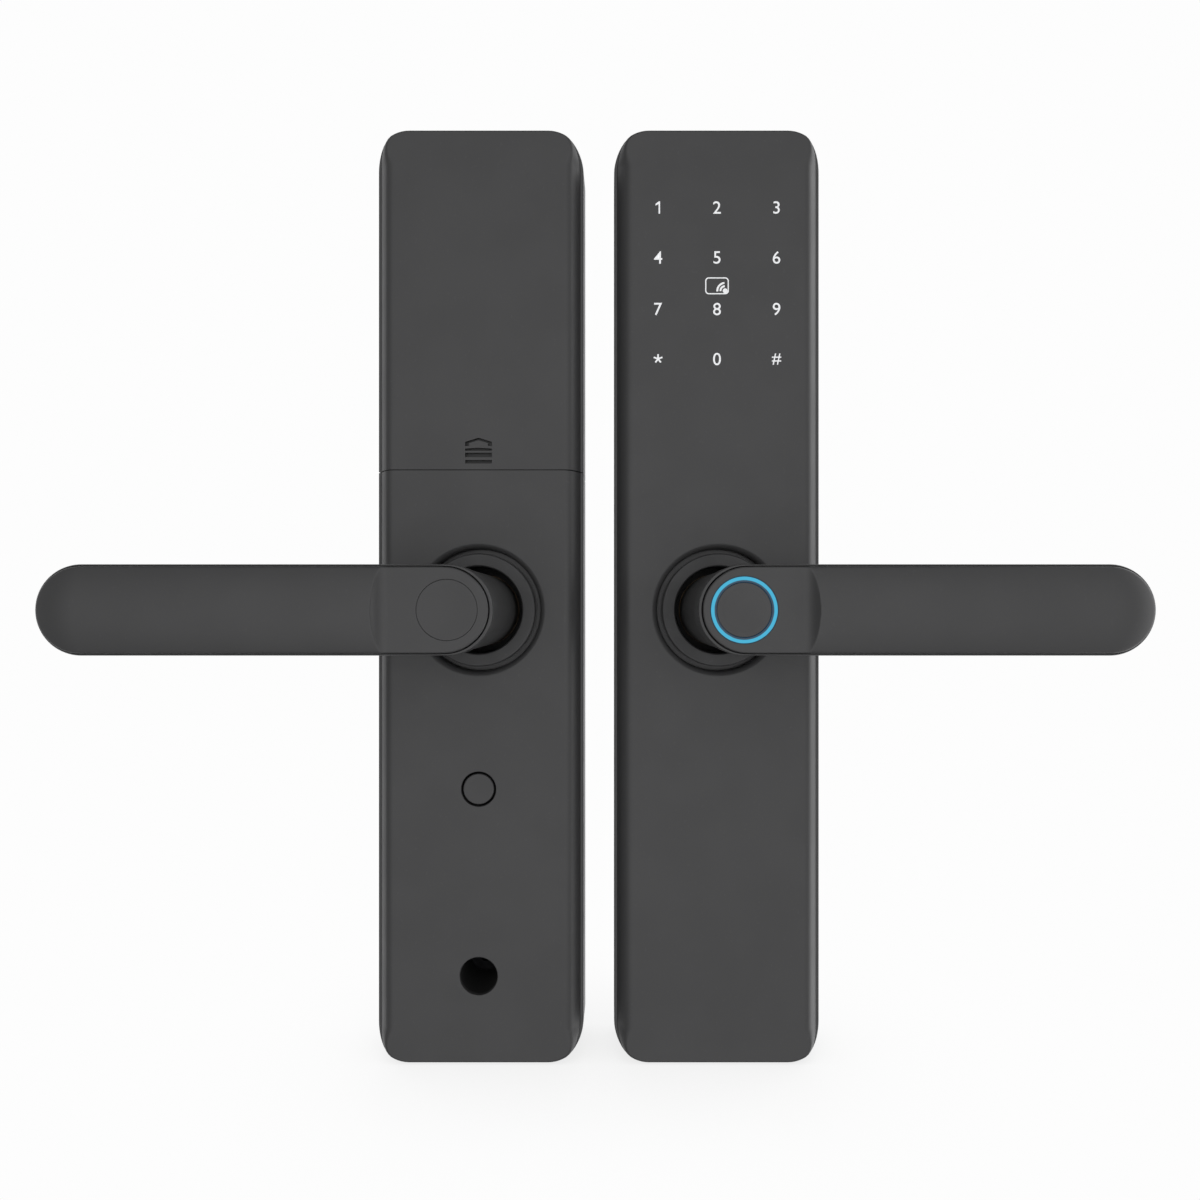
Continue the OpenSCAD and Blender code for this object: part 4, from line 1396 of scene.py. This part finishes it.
@dataclass
class Lever:
    """One lever, pointing along +X round the axis: body with neck and rim, and front shell."""

    grip: float = 11.6
    shell: float = 10.5
    grip_shell: float = 11.05
    tip_x: float = 92.9
    head_t: float = 65.3
    crown: float = 32.0
    crown_t: float = 67.6
    back_t: float = 54.0
    head_back: float = 55.5
    split: float = 60.5
    rim_t: float = 64.8
    scoop_x: float = 14.8
    scoop_r: float = 3.6
    scoop_turn: float = 1.5
    scoop_steepen: float = 0.14
    neck: float = 11.4
    neck_t: float = 12.7
    tail: float = 8.0
    tail_t: float = 6.9
    gap: float = 0.26
    side_gap: float = 0.14
    shell_soft: float = 0.5
    grip_soft: float = 0.9

    def stations(self) -> list[float]:
        """Gives the places along the straight sides, close together near the scoop."""
        out = [0.0, 2.0, 4.0, 6.0, 8.0, 9.5, 11.0, 12.5]
        out += [13.6 + 0.2 * i for i in range(33)]
        out += [21.0 + (self.tip_x - 21.0) * i / 16 for i in range(17)]
        return out

    def shell_at(self, x: float) -> float:
        """Gives the front shell's half width: narrow round the head, wide along the sides."""
        return self.shell + (self.grip_shell - self.shell) * ease(x, -9.0, 3.0)

    def rim_at(self, x: float) -> float:
        """Gives the half width inside the rim: a gap outside the shell."""
        return self.shell_at(x) + self.gap + (self.side_gap - self.gap) * ease(x, -9.0, 3.0)

    def outline(self, width: Callable[[float], float], keep: float,
                grow: Callable[[float, float], float]) -> list[Point3]:
        """Gives one ring of a lever's piece.

        Args:
            width: half width at a place along the lever.
            keep: share of that width.
            grow: depth at (x, z).

        Returns:
            The points, anticlockwise from the tip.
        """
        turn = [math.pi / 2 * i / 24 for i in range(-23, 24)]
        tip, side = width(self.tip_x) * keep, self.stations()
        flat = [(self.tip_x + tip * math.cos(a), tip * math.sin(a)) for a in turn]
        flat += [(x, width(x) * keep) for x in reversed(side)]
        for a in turn:
            head = width(-self.grip * math.cos(a)) * keep
            flat.append((-head * math.cos(a), -head * math.sin(a)))
        flat += [(x, -width(x) * keep) for x in side]
        return [(x, grow(x, z), z) for x, z in flat]

    def front_at(self, x: float, z: float) -> float:
        """Gives the front surface: flat head, scoop, crowned grip and ball-shaped tip.

        Args:
            x: along the lever.
            z: across it.

        Returns:
            The depth.
        """
        past = max(0.0, x - self.tip_x)
        crown = self.crown_t - self.crown + math.sqrt(self.crown ** 2 - z * z - past * past)
        away = max(0.0, x - self.scoop_x)
        bent, rest = min(away, self.scoop_turn), max(0.0, away - self.scoop_turn)
        foot = math.sqrt(self.scoop_r ** 2 - bent ** 2)
        scoop = self.head_t + self.scoop_r - foot + rest * bent / foot + self.scoop_steepen * rest ** 2
        return softest(scoop, crown, 0.12)

    def back_at(self, x: float, z: float) -> float:
        """Gives the back surface: flat behind the head, rounded behind the grip.

        Args:
            x: along the lever.
            z: across it.

        Returns:
            The depth.
        """
        past = max(0.0, x - self.tip_x)
        lens = self.back_t + self.crown - math.sqrt(self.crown ** 2 - z * z - past * past)
        return self.head_back + (lens - self.head_back) * ease(x, 2.0, 13.0)

    def shares(self, soft: float) -> list[float]:
        """Gives the insets of the rings over a surface.

        Args:
            soft: width of the rounding at the outline.

        Returns:
            The insets, from the outline to the middle line.
        """
        edge = [soft * s for s in (0.0, 0.03, 0.1, 0.22, 0.4, 0.65, 1.0)]
        inner = [soft + (self.grip - soft) * i / 26 for i in range(1, 27)]
        return [s / self.grip for s in edge + inner]

    def fall(self, share: float, soft: float) -> float:
        """Gives how far the surface drops at the rounded outline.

        Args:
            share: the inset.
            soft: width of the rounding.

        Returns:
            The drop.
        """
        gap = soft - share * self.grip
        return soft - math.sqrt(max(soft * soft - gap * gap, 0.0)) if gap > 0 else 0.0

    def front_shell(self, well: float) -> bpy.types.Mesh:
        """Makes the front shell.

        Args:
            well: radius of the well for the disc in the head.

        Returns:
            The mesh.
        """
        skin = Skin()
        for keep in (0.0, 0.5, 1.0):
            skin.ring(self.outline(self.shell_at, keep, lambda x, z: self.split))
        for share in self.shares(self.shell_soft):
            drop = self.fall(share, self.shell_soft)
            skin.ring(self.outline(self.shell_at, 1 - share, lambda x, z, d=drop: self.front_at(x, z) - d))
        self.bridge_all(skin)
        hole = Skin()
        hole.turned(0.0, 0.0, [(well, self.split - 2), (well, self.head_t - 0.08),
                               (well + 0.08, self.head_t + 0.01), (well + 0.08, self.head_t + 3)], FINE_STEPS)
        return worked(skin.mesh("front_shell"), [(Cut.AWAY, hole.mesh("well"))])

    def bridge_all(self, skin: Skin) -> None:
        """Joins all the rings that a piece has so far.

        Args:
            skin: the piece, with rings of this lever's outline only.
        """
        count = len(self.outline(self.shell_at, 1.0, self.front_at))
        skin.bridge([list(range(i, i + count)) for i in range(0, len(skin.points), count)])

    def rim_top(self, low: float) -> Callable[[float, float], float]:
        """Gives the top of the rim, a little higher along the grip than round the head.

        Args:
            low: how far below the top.

        Returns:
            The depth at (x, z).
        """
        return lambda x, z: self.rim_t - low + 0.2 * ease(x, 14.0, 20.0)

    def body(self) -> bpy.types.Mesh:
        """Makes the neck, tail, back of the grip and the rim round the head.

        Returns:
            The mesh.
        """
        skin = Skin()
        for share in reversed(self.shares(self.grip_soft)):
            rise = self.fall(share, self.grip_soft)
            skin.ring(self.outline(lambda x: self.grip, 1 - share,
                                   lambda x, z, d=rise: self.back_at(x, z) + d))
        for inset, low in ((0.0, 0.3), (0.06, 0.12), (0.2, 0.0)):
            skin.ring(self.outline(lambda x, i=inset: self.grip - i, 1.0, self.rim_top(low)))
        for more, low in ((0.1, 0.0), (0.0, 0.12)):
            skin.ring(self.outline(lambda x, m=more: self.rim_at(x) + m, 1.0, self.rim_top(low)))
        for keep in (1.0, 0.5, 0.0):
            skin.ring(self.outline(self.rim_at, keep, lambda x, z: self.split))
        self.bridge_all(skin)
        stem = Skin()
        stem.turned(0.0, 0.0, [
            (self.tail - 0.3, self.tail_t), (self.tail, self.tail_t + 0.3), (self.tail, 7.8), (7.0, 7.8),
            (7.0, 9.0), (self.tail, 9.0), (self.tail, self.neck_t), (self.neck - 0.3, self.neck_t),
            (self.neck, self.neck_t + 0.3), (self.neck, self.head_back + 2)], FINE_STEPS)
        pocket = Skin()
        pocket.turned(0.0, 0.0, [(9.0, 58.1), (9.0, 66.0)], 64)
        tools = [(Cut.JOIN, stem.mesh("stem")), (Cut.AWAY, pocket.mesh("pocket"))]
        return worked(skin.mesh("lever_body"), tools)


@dataclass
class OutsideLever:
    """The outside lever with its fingerprint reader in a lit ring."""

    finishes: Finishes
    ring: float = 8.6
    sensor: float = 7.0

    def build(self) -> None:
        """Builds and dresses the lever's pieces."""
        lever, place = Lever(), self.finishes.place
        place("outside_grip_back", lever.body(), "outside_lever", "lever_coat", "outside_lever_body")
        place("outside_grip_front", lever.front_shell(self.ring), "outside_lever", "lever_coat",
              "outside_lever_front")
        split, top = lever.split, lever.head_t
        glow = Skin()
        profile = [(self.sensor, split), (self.sensor, top - 0.1), (self.sensor + 0.12, top + 0.03),
                   (self.sensor + 0.8, top + 0.05), (self.ring - 0.12, top + 0.03), (self.ring, top - 0.1),
                   (self.ring, split)]
        glow.tube(0.0, 0.0, profile, FINE_STEPS)
        place("lit_ring", glow.mesh("lit_ring"), "outside_lever", "blue_light", "fingerprint_light_ring")
        reader = Skin()
        face = [(0.001, top - 0.32), (2.5, top - 0.3), (5.0, top - 0.2), (5.15, top - 0.23),
                (5.3, top - 0.23), (5.45, top - 0.19), (self.sensor - 0.35, top - 0.13),
                (self.sensor - 0.12, top - 0.16), (self.sensor - 0.05, top - 0.3),
                (self.sensor - 0.05, split), (0.001, split)]
        reader.turned(0.0, 0.0, face, FINE_STEPS)
        place("reader", reader.mesh("reader"), "outside_lever", "sensor_glass", "fingerprint_sensor")


@dataclass
class InsideLever:
    """The inside lever, the mirror image of the outside one, with a plain dished disc in its head."""

    finishes: Finishes
    cap: float = 7.8

    def build(self) -> None:
        """Builds and dresses the lever's pieces."""
        lever, place = Lever(), self.finishes.place
        place("inside_grip_back", mirrored(lever.body(), INSIDE_X), "inside_lever", "lever_coat",
              "inside_lever_body")
        place("inside_grip_front", mirrored(lever.front_shell(self.cap), INSIDE_X), "inside_lever",
              "lever_coat", "inside_lever_front")
        skin, top, r = Skin(), lever.head_t, self.cap - 0.03
        dish = [(0.001, top - 0.55), (2.0, top - 0.52), (4.0, top - 0.4), (6.0, top - 0.22)]
        dish += quarter(r - 0.15, top - 0.03, r, top - 0.18, 4)
        skin.turned(INSIDE_X, 0.0, dish + [(r, lever.split - 1), (0.001, lever.split - 1)], FINE_STEPS)
        place("plain_disc", skin.mesh("plain_disc"), "inside_lever", "lever_coat", "inside_lever_cap")


# ------------------------------------------------------------------ repeated hardware


def geometry_tree(name: str, *sizes: str) -> tuple[bpy.types.NodeTree, Tree, bpy.types.Node]:
    """Starts a geometry tree.

    Args:
        name: its name.
        sizes: name of each size.

    Returns:
        The group, its builder and its input node.
    """
    group = bpy.data.node_groups.new(name, "GeometryNodeTree")
    group.interface.new_socket(name="Places", in_out="INPUT", socket_type="NodeSocketGeometry")
    for label in sizes:
        group.interface.new_socket(name=label, in_out="INPUT", socket_type="NodeSocketFloat")
    group.interface.new_socket(name="Finish", in_out="INPUT", socket_type="NodeSocketMaterial")
    group.interface.new_socket(name="Pieces", in_out="OUTPUT", socket_type="NodeSocketGeometry")
    tree = Tree(group)
    return group, tree, tree.add("NodeGroupInput")


def close_tree(tree: Tree, start: bpy.types.Node, shape: bpy.types.NodeSocket) -> None:
    """Puts the shape on every place, makes it real and gives it its finish.

    Args:
        tree: the tree.
        start: its input node.
        shape: the shape to repeat.
    """
    spots = tree.add("GeometryNodeMeshToPoints", _0=start.outputs["Places"])
    copies = tree.add("GeometryNodeInstanceOnPoints", Points=spots.outputs[0], Instance=shape)
    real = tree.add("GeometryNodeRealizeInstances", _0=copies.outputs[0])
    dressed = tree.add("GeometryNodeSetMaterial", Geometry=real.outputs[0], Material=start.outputs["Finish"])
    tree.add("NodeGroupOutput", _0=dressed.outputs[0])


def screw_tree() -> bpy.types.NodeTree:
    """Builds the tree for pan-head screws with a cross recess, heads towards the door."""
    group, tree, start = geometry_tree("pan_screws", "Head Radius", "Head Height", "Shank Radius",
                                       "Shank Length", "Recess")
    size = start.outputs
    half = tree.math("MULTIPLY", size["Head Height"], 0.5)
    low = tree.add("GeometryNodeMeshCylinder", Vertices=32, Radius=size["Head Radius"], Depth=half)
    cap = tree.add("GeometryNodeMeshCone", Vertices=32, Radius_Bottom=size["Head Radius"],
                   Radius_Top=tree.math("MULTIPLY", size["Head Radius"], 0.72), Depth=half)
    low_up = tree.add("ShaderNodeCombineXYZ", Z=tree.math("MULTIPLY", size["Head Height"], 0.25))
    cap_up = tree.add("ShaderNodeCombineXYZ", Z=half)
    low_at = tree.add("GeometryNodeTransform", Geometry=low.outputs[0], Translation=low_up.outputs[0])
    cap_at = tree.add("GeometryNodeTransform", Geometry=cap.outputs[0], Translation=cap_up.outputs[0])
    arm = tree.math("MULTIPLY", size["Head Radius"], 1.1)
    lift = tree.add("ShaderNodeCombineXYZ", Z=size["Head Height"])
    tools = []
    for across, along in ((arm, size["Recess"]), (size["Recess"], arm)):
        box = tree.add("ShaderNodeCombineXYZ", X=across, Y=along, Z=size["Head Height"])
        bar = tree.add("GeometryNodeMeshCube", Size=box.outputs[0])
        tools.append(tree.add("GeometryNodeTransform", Geometry=bar.outputs[0], Translation=lift.outputs[0]))
    head = tree.add("GeometryNodeMeshBoolean", {"operation": "UNION"})
    tree.link(low_at.outputs[0], head.inputs["Mesh 2"])
    tree.link(cap_at.outputs[0], head.inputs["Mesh 2"])
    cut = tree.add("GeometryNodeMeshBoolean", {"operation": "DIFFERENCE"}, _0=head.outputs[0])
    for tool in tools:
        tree.link(tool.outputs[0], cut.inputs["Mesh 2"])
    shank = tree.add("GeometryNodeMeshCylinder", Vertices=24, Radius=size["Shank Radius"],
                     Depth=size["Shank Length"])
    sunk = tree.add("ShaderNodeCombineXYZ", Z=tree.math("MULTIPLY", size["Shank Length"], -0.5))
    shank_at = tree.add("GeometryNodeTransform", Geometry=shank.outputs[0], Translation=sunk.outputs[0])
    whole = tree.add("GeometryNodeJoinGeometry")
    tree.link(cut.outputs[0], whole.inputs[0])
    tree.link(shank_at.outputs[0], whole.inputs[0])
    turned = tree.add("GeometryNodeTransform", Geometry=whole.outputs[0], Rotation=(-math.pi / 2, 0.0, 0.0))
    close_tree(tree, start, turned.outputs[0])
    return group


def coil_tree() -> bpy.types.NodeTree:
    """Builds the tree for coil springs of round wire, along the height or square to the door."""
    group, tree, start = geometry_tree("coils", "Turns", "Start Radius", "End Radius", "Height",
                                       "Wire Radius", "Tilt")
    size = start.outputs
    path = tree.add("GeometryNodeCurveSpiral", Resolution=28, Rotations=size["Turns"],
                    Start_Radius=size["Start Radius"], End_Radius=size["End Radius"], Height=size["Height"])
    wire = tree.add("GeometryNodeCurvePrimitiveCircle", Resolution=10, Radius=size["Wire Radius"])
    body = tree.add("GeometryNodeCurveToMesh", Curve=path.outputs[0], Profile_Curve=wire.outputs[0],
                    Fill_Caps=True)
    angle = tree.add("ShaderNodeCombineXYZ", X=size["Tilt"])
    turned = tree.add("GeometryNodeTransform", Geometry=body.outputs[0], Rotation=angle.outputs[0])
    close_tree(tree, start, turned.outputs[0])
    return group


def grown(name: str, places: Sequence[Point3], tree: bpy.types.NodeTree, finish: bpy.types.Material,
          **sizes: float) -> bpy.types.Mesh:
    """Runs a geometry tree on places and keeps the result as a plain mesh.

    Args:
        name: the mesh's name.
        places: (x, depth, z) of each copy, in millimetres.
        tree: the tree.
        finish: its material.
        sizes: its inputs, by name with _ for a space.

    Returns:
        The mesh.
    """
    points = bpy.data.meshes.new(name)
    points.from_pydata([(x * MM, -t * MM, z * MM) for x, t, z in places], [], [])
    maker = linked(name, points)
    step = maker.modifiers.new("grow", "NODES")
    step.node_group = tree
    known = {item.name: item.identifier for item in tree.interface.items_tree if item.in_out == "INPUT"}
    step[known["Finish"]] = finish
    for key, value in sizes.items():
        step[known[key.replace("_", " ")]] = value
    data = plain(maker)
    data.name = name
    return data


@dataclass(frozen=True)
class Screw:
    """Sizes of one kind of pan-head screw."""

    head: float
    height: float
    shank: float
    length: float
    recess: float = 0.6


@dataclass
class Hardware:
    """The repeated small parts: screws of both units, cell springs and return springs."""

    finishes: Finishes
    plate_screw: Screw = Screw(head=2.55, height=1.1, shank=1.2, length=8.5)
    board_screw: Screw = Screw(head=2.0, height=1.0, shank=0.95, length=5.0)
    outside_board_t: float = 8.0
    inside_board_t: float = 9.6
    cell_pitch: float = 14.6
    cell_t: float = 11.9
    bay_low: float = 46.25
    bay_high: float = 99.75
    coil_r: float = 16.8
    coil_t: float = 10.6

    def screws(self, unit: OutsideUnit, inside: InsideUnit) -> None:
        """Builds and dresses the screws.

        Args:
            unit: the outside unit, for its screw places.
            inside: the inside unit, for its screw places.
        """
        tree, steel = screw_tree(), self.finishes.made["bright_steel"]
        back = [(sx * unit.screw_x, RIM_T, z) for sx in (-1, 1) for z in unit.screw_rows]
        boards = [(sx * unit.board_x, self.outside_board_t, z) for sx in (-1, 1) for z in unit.board_rows]
        inner = [(INSIDE_X + sx * inside.board_x, self.inside_board_t, z) for sx in (-1, 1)
                 for z in inside.board_rows]
        for name, places, node, kind in (
                ("back_screws", back, "outside_back_screws", self.plate_screw),
                ("outside_small_screws", boards, "outside_board_screws", self.board_screw),
                ("inside_small_screws", inner, "inside_board_screws", self.board_screw)):
            data = grown(name, places, tree, steel, Head_Radius=kind.head * MM, Head_Height=kind.height * MM,
                         Shank_Radius=kind.shank * MM, Shank_Length=kind.length * MM, Recess=kind.recess * MM)
            self.finishes.place(name, data, "units", "bright_steel", node)

    def springs(self) -> None:
        """Builds and dresses the cell springs and the two return springs."""
        tree, wire = coil_tree(), self.finishes.made["spring_steel"]
        bm = bmesh.new()
        for first, z, tilt in ((0, self.bay_low, 0.0), (1, self.bay_high, math.pi)):
            spots = [(INSIDE_X + (i - 1.5) * self.cell_pitch, self.cell_t, z) for i in (first, first + 2)]
            bm.from_mesh(grown("cell_coils", spots, tree, wire, Turns=3.5, Start_Radius=4.5 * MM,
                               End_Radius=2.7 * MM, Height=2.5 * MM, Wire_Radius=0.35 * MM, Tilt=tilt))
        coils = bpy.data.meshes.new("cell_coils")
        bm.to_mesh(coils)
        bm.free()
        self.finishes.place("cell_coils", coils, "units", "spring_steel", "battery_springs")
        for name, node, x in (("outside_coil", "outside_return_spring", 0.0),
                              ("inside_coil", "inside_return_spring", INSIDE_X)):
            data = grown(name, [(x, self.coil_t, 0.0)], tree, wire, Turns=3.0, Start_Radius=self.coil_r * MM,
                         End_Radius=self.coil_r * MM, Height=3.0 * MM, Wire_Radius=0.7 * MM, Tilt=math.pi / 2)
            self.finishes.place(name, data, "units", "spring_steel", node)


# ------------------------------------------------------------------ studio


@dataclass
class Studio:
    """Camera, even soft light all round with a bright front, and a pale floor."""

    camera_at: Point3 = (-0.0337, -0.245, 0.0)
    lens: float = 21.3
    shift: Point2 = (-0.0094, 0.0083)
    floor_z: float = -0.143
    front: float = 1.14
    fading: tuple[Point2, ...] = ((0.0, 1.0), (0.085, 0.94), (0.146, 0.62), (0.213, 0.3), (0.31, 0.1))
    middle: float = 0.05
    behind: float = 1.0
    right: float = 1.6
    left: float = 0.28
    paper: float = 0.982

    def camera(self) -> None:
        """Sets up the camera."""
        data = bpy.data.cameras.new("camera")
        data.lens, data.sensor_width = self.lens, 36.0
        data.shift_x, data.shift_y = self.shift
        data.clip_start, data.clip_end = 0.01, 20.0
        item = linked("camera", data)
        item.location = self.camera_at
        item.rotation_euler = (math.pi / 2, 0.0, 0.0)
        bpy.context.scene.camera = item

    def light(self) -> None:
        """Lights the scene from all round: strong from the front, weak from the sides, clear from behind."""
        world = bpy.data.worlds.new("studio")
        world.use_nodes = True
        world.node_tree.nodes.clear()
        tree = Tree(world.node_tree)
        apart = tree.add("ShaderNodeSeparateXYZ", Vector=tree.add("ShaderNodeTexCoord").outputs["Generated"])
        sweep = tree.add("ShaderNodeMapRange", _0=apart.outputs["Y"], _1=-1.0, _2=1.0, _3=0.0, _4=1.0)
        ramp = tree.add("ShaderNodeValToRGB", Fac=sweep.outputs[0])
        stops = [(spot, self.front * share) for spot, share in self.fading]
        stops += [(0.42, self.middle), (0.52, self.middle), (0.66, self.behind * 0.8), (1.0, self.behind)]
        while len(ramp.color_ramp.elements) < len(stops):
            ramp.color_ramp.elements.new(0.5)
        for element, (spot, value) in zip(ramp.color_ramp.elements, stops):
            element.position = spot
            element.color = (value, value, value * 1.01, 1.0)
        off = tree.math("ABSOLUTE", apart.outputs["Y"])
        flank = tree.math("SUBTRACT", 1.0, tree.span(off, 0.2, 0.5, 0.0, 1.0))
        right = tree.math("MULTIPLY", tree.span(apart.outputs["X"], 0.5, 0.85, 0.0, self.right), flank)
        left = tree.math("MULTIPLY", tree.span(apart.outputs["X"], -0.85, -0.5, self.left, 0.0), flank)
        power = tree.math("ADD", ramp.outputs[0], tree.math("ADD", right, left))
        lamp = tree.add("ShaderNodeBackground", Color=(1.0, 1.0, 1.01, 1.0), Strength=power)
        paper = tree.add("ShaderNodeBackground", Color=rgba((self.paper,) * 3), Strength=1.0)
        ray = tree.add("ShaderNodeLightPath")
        both = tree.add("ShaderNodeMixShader", _0=ray.outputs["Is Camera Ray"], _1=lamp.outputs[0],
                        _2=paper.outputs[0])
        tree.add("ShaderNodeOutputWorld", Surface=both.outputs[0])
        bpy.context.scene.world = world

    def floor(self) -> None:
        """Lays the floor: paper white, with a faint contact shadow painted in from ambient occlusion."""
        data = bpy.data.meshes.new("floor")
        corners = ((-3, -3), (3, -3), (3, 3), (-3, 3))
        data.from_pydata([(x, y, self.floor_z) for x, y in corners], [], [(0, 1, 2, 3)])
        item = linked("floor", data)
        material = bpy.data.materials.new("paper_floor")
        material.use_nodes = True
        material.node_tree.nodes.clear()
        tree = Tree(material.node_tree)
        # painted contact shadow: ambient occlusion darkens the white that the floor emits towards the camera
        near = tree.add("ShaderNodeAmbientOcclusion", {"samples": 8}, Distance=0.06)
        tone = tree.span(near.outputs["AO"], 0.0, 1.0, self.paper * 0.82, self.paper)
        painted_contact_shadow = tree.add("ShaderNodeCombineColor", _0=tone, _1=tone, _2=tone)
        seen = tree.add("ShaderNodeEmission", Color=painted_contact_shadow.outputs[0])
        dull = tree.add("ShaderNodeBsdfTransparent")
        ray = tree.add("ShaderNodeLightPath")
        both = tree.add("ShaderNodeMixShader", _0=ray.outputs["Is Camera Ray"], _1=dull.outputs[0],
                        _2=seen.outputs[0])
        tree.add("ShaderNodeOutputMaterial", Surface=both.outputs[0])
        data.materials.append(material)

    def build(self) -> None:
        """Sets up camera, light and floor."""
        self.camera()
        self.light()
        self.floor()
        bpy.context.scene.view_settings.view_transform = "Standard"


def main() -> None:
    """Builds the lock, piece by piece."""
    Studio().build()
    finishes = Finishes().build()
    finishes.dress_frame()
    outside, inside = OutsideUnit(finishes), InsideUnit(finishes)
    outside.shell()
    outside.legends()
    inside.shell()
    inside.cover()
    inside.press()
    OutsideLever(finishes).build()
    InsideLever(finishes).build()
    hardware = Hardware(finishes)
    hardware.screws(outside, inside)
    hardware.springs()


if __name__ == "__main__":
    main()
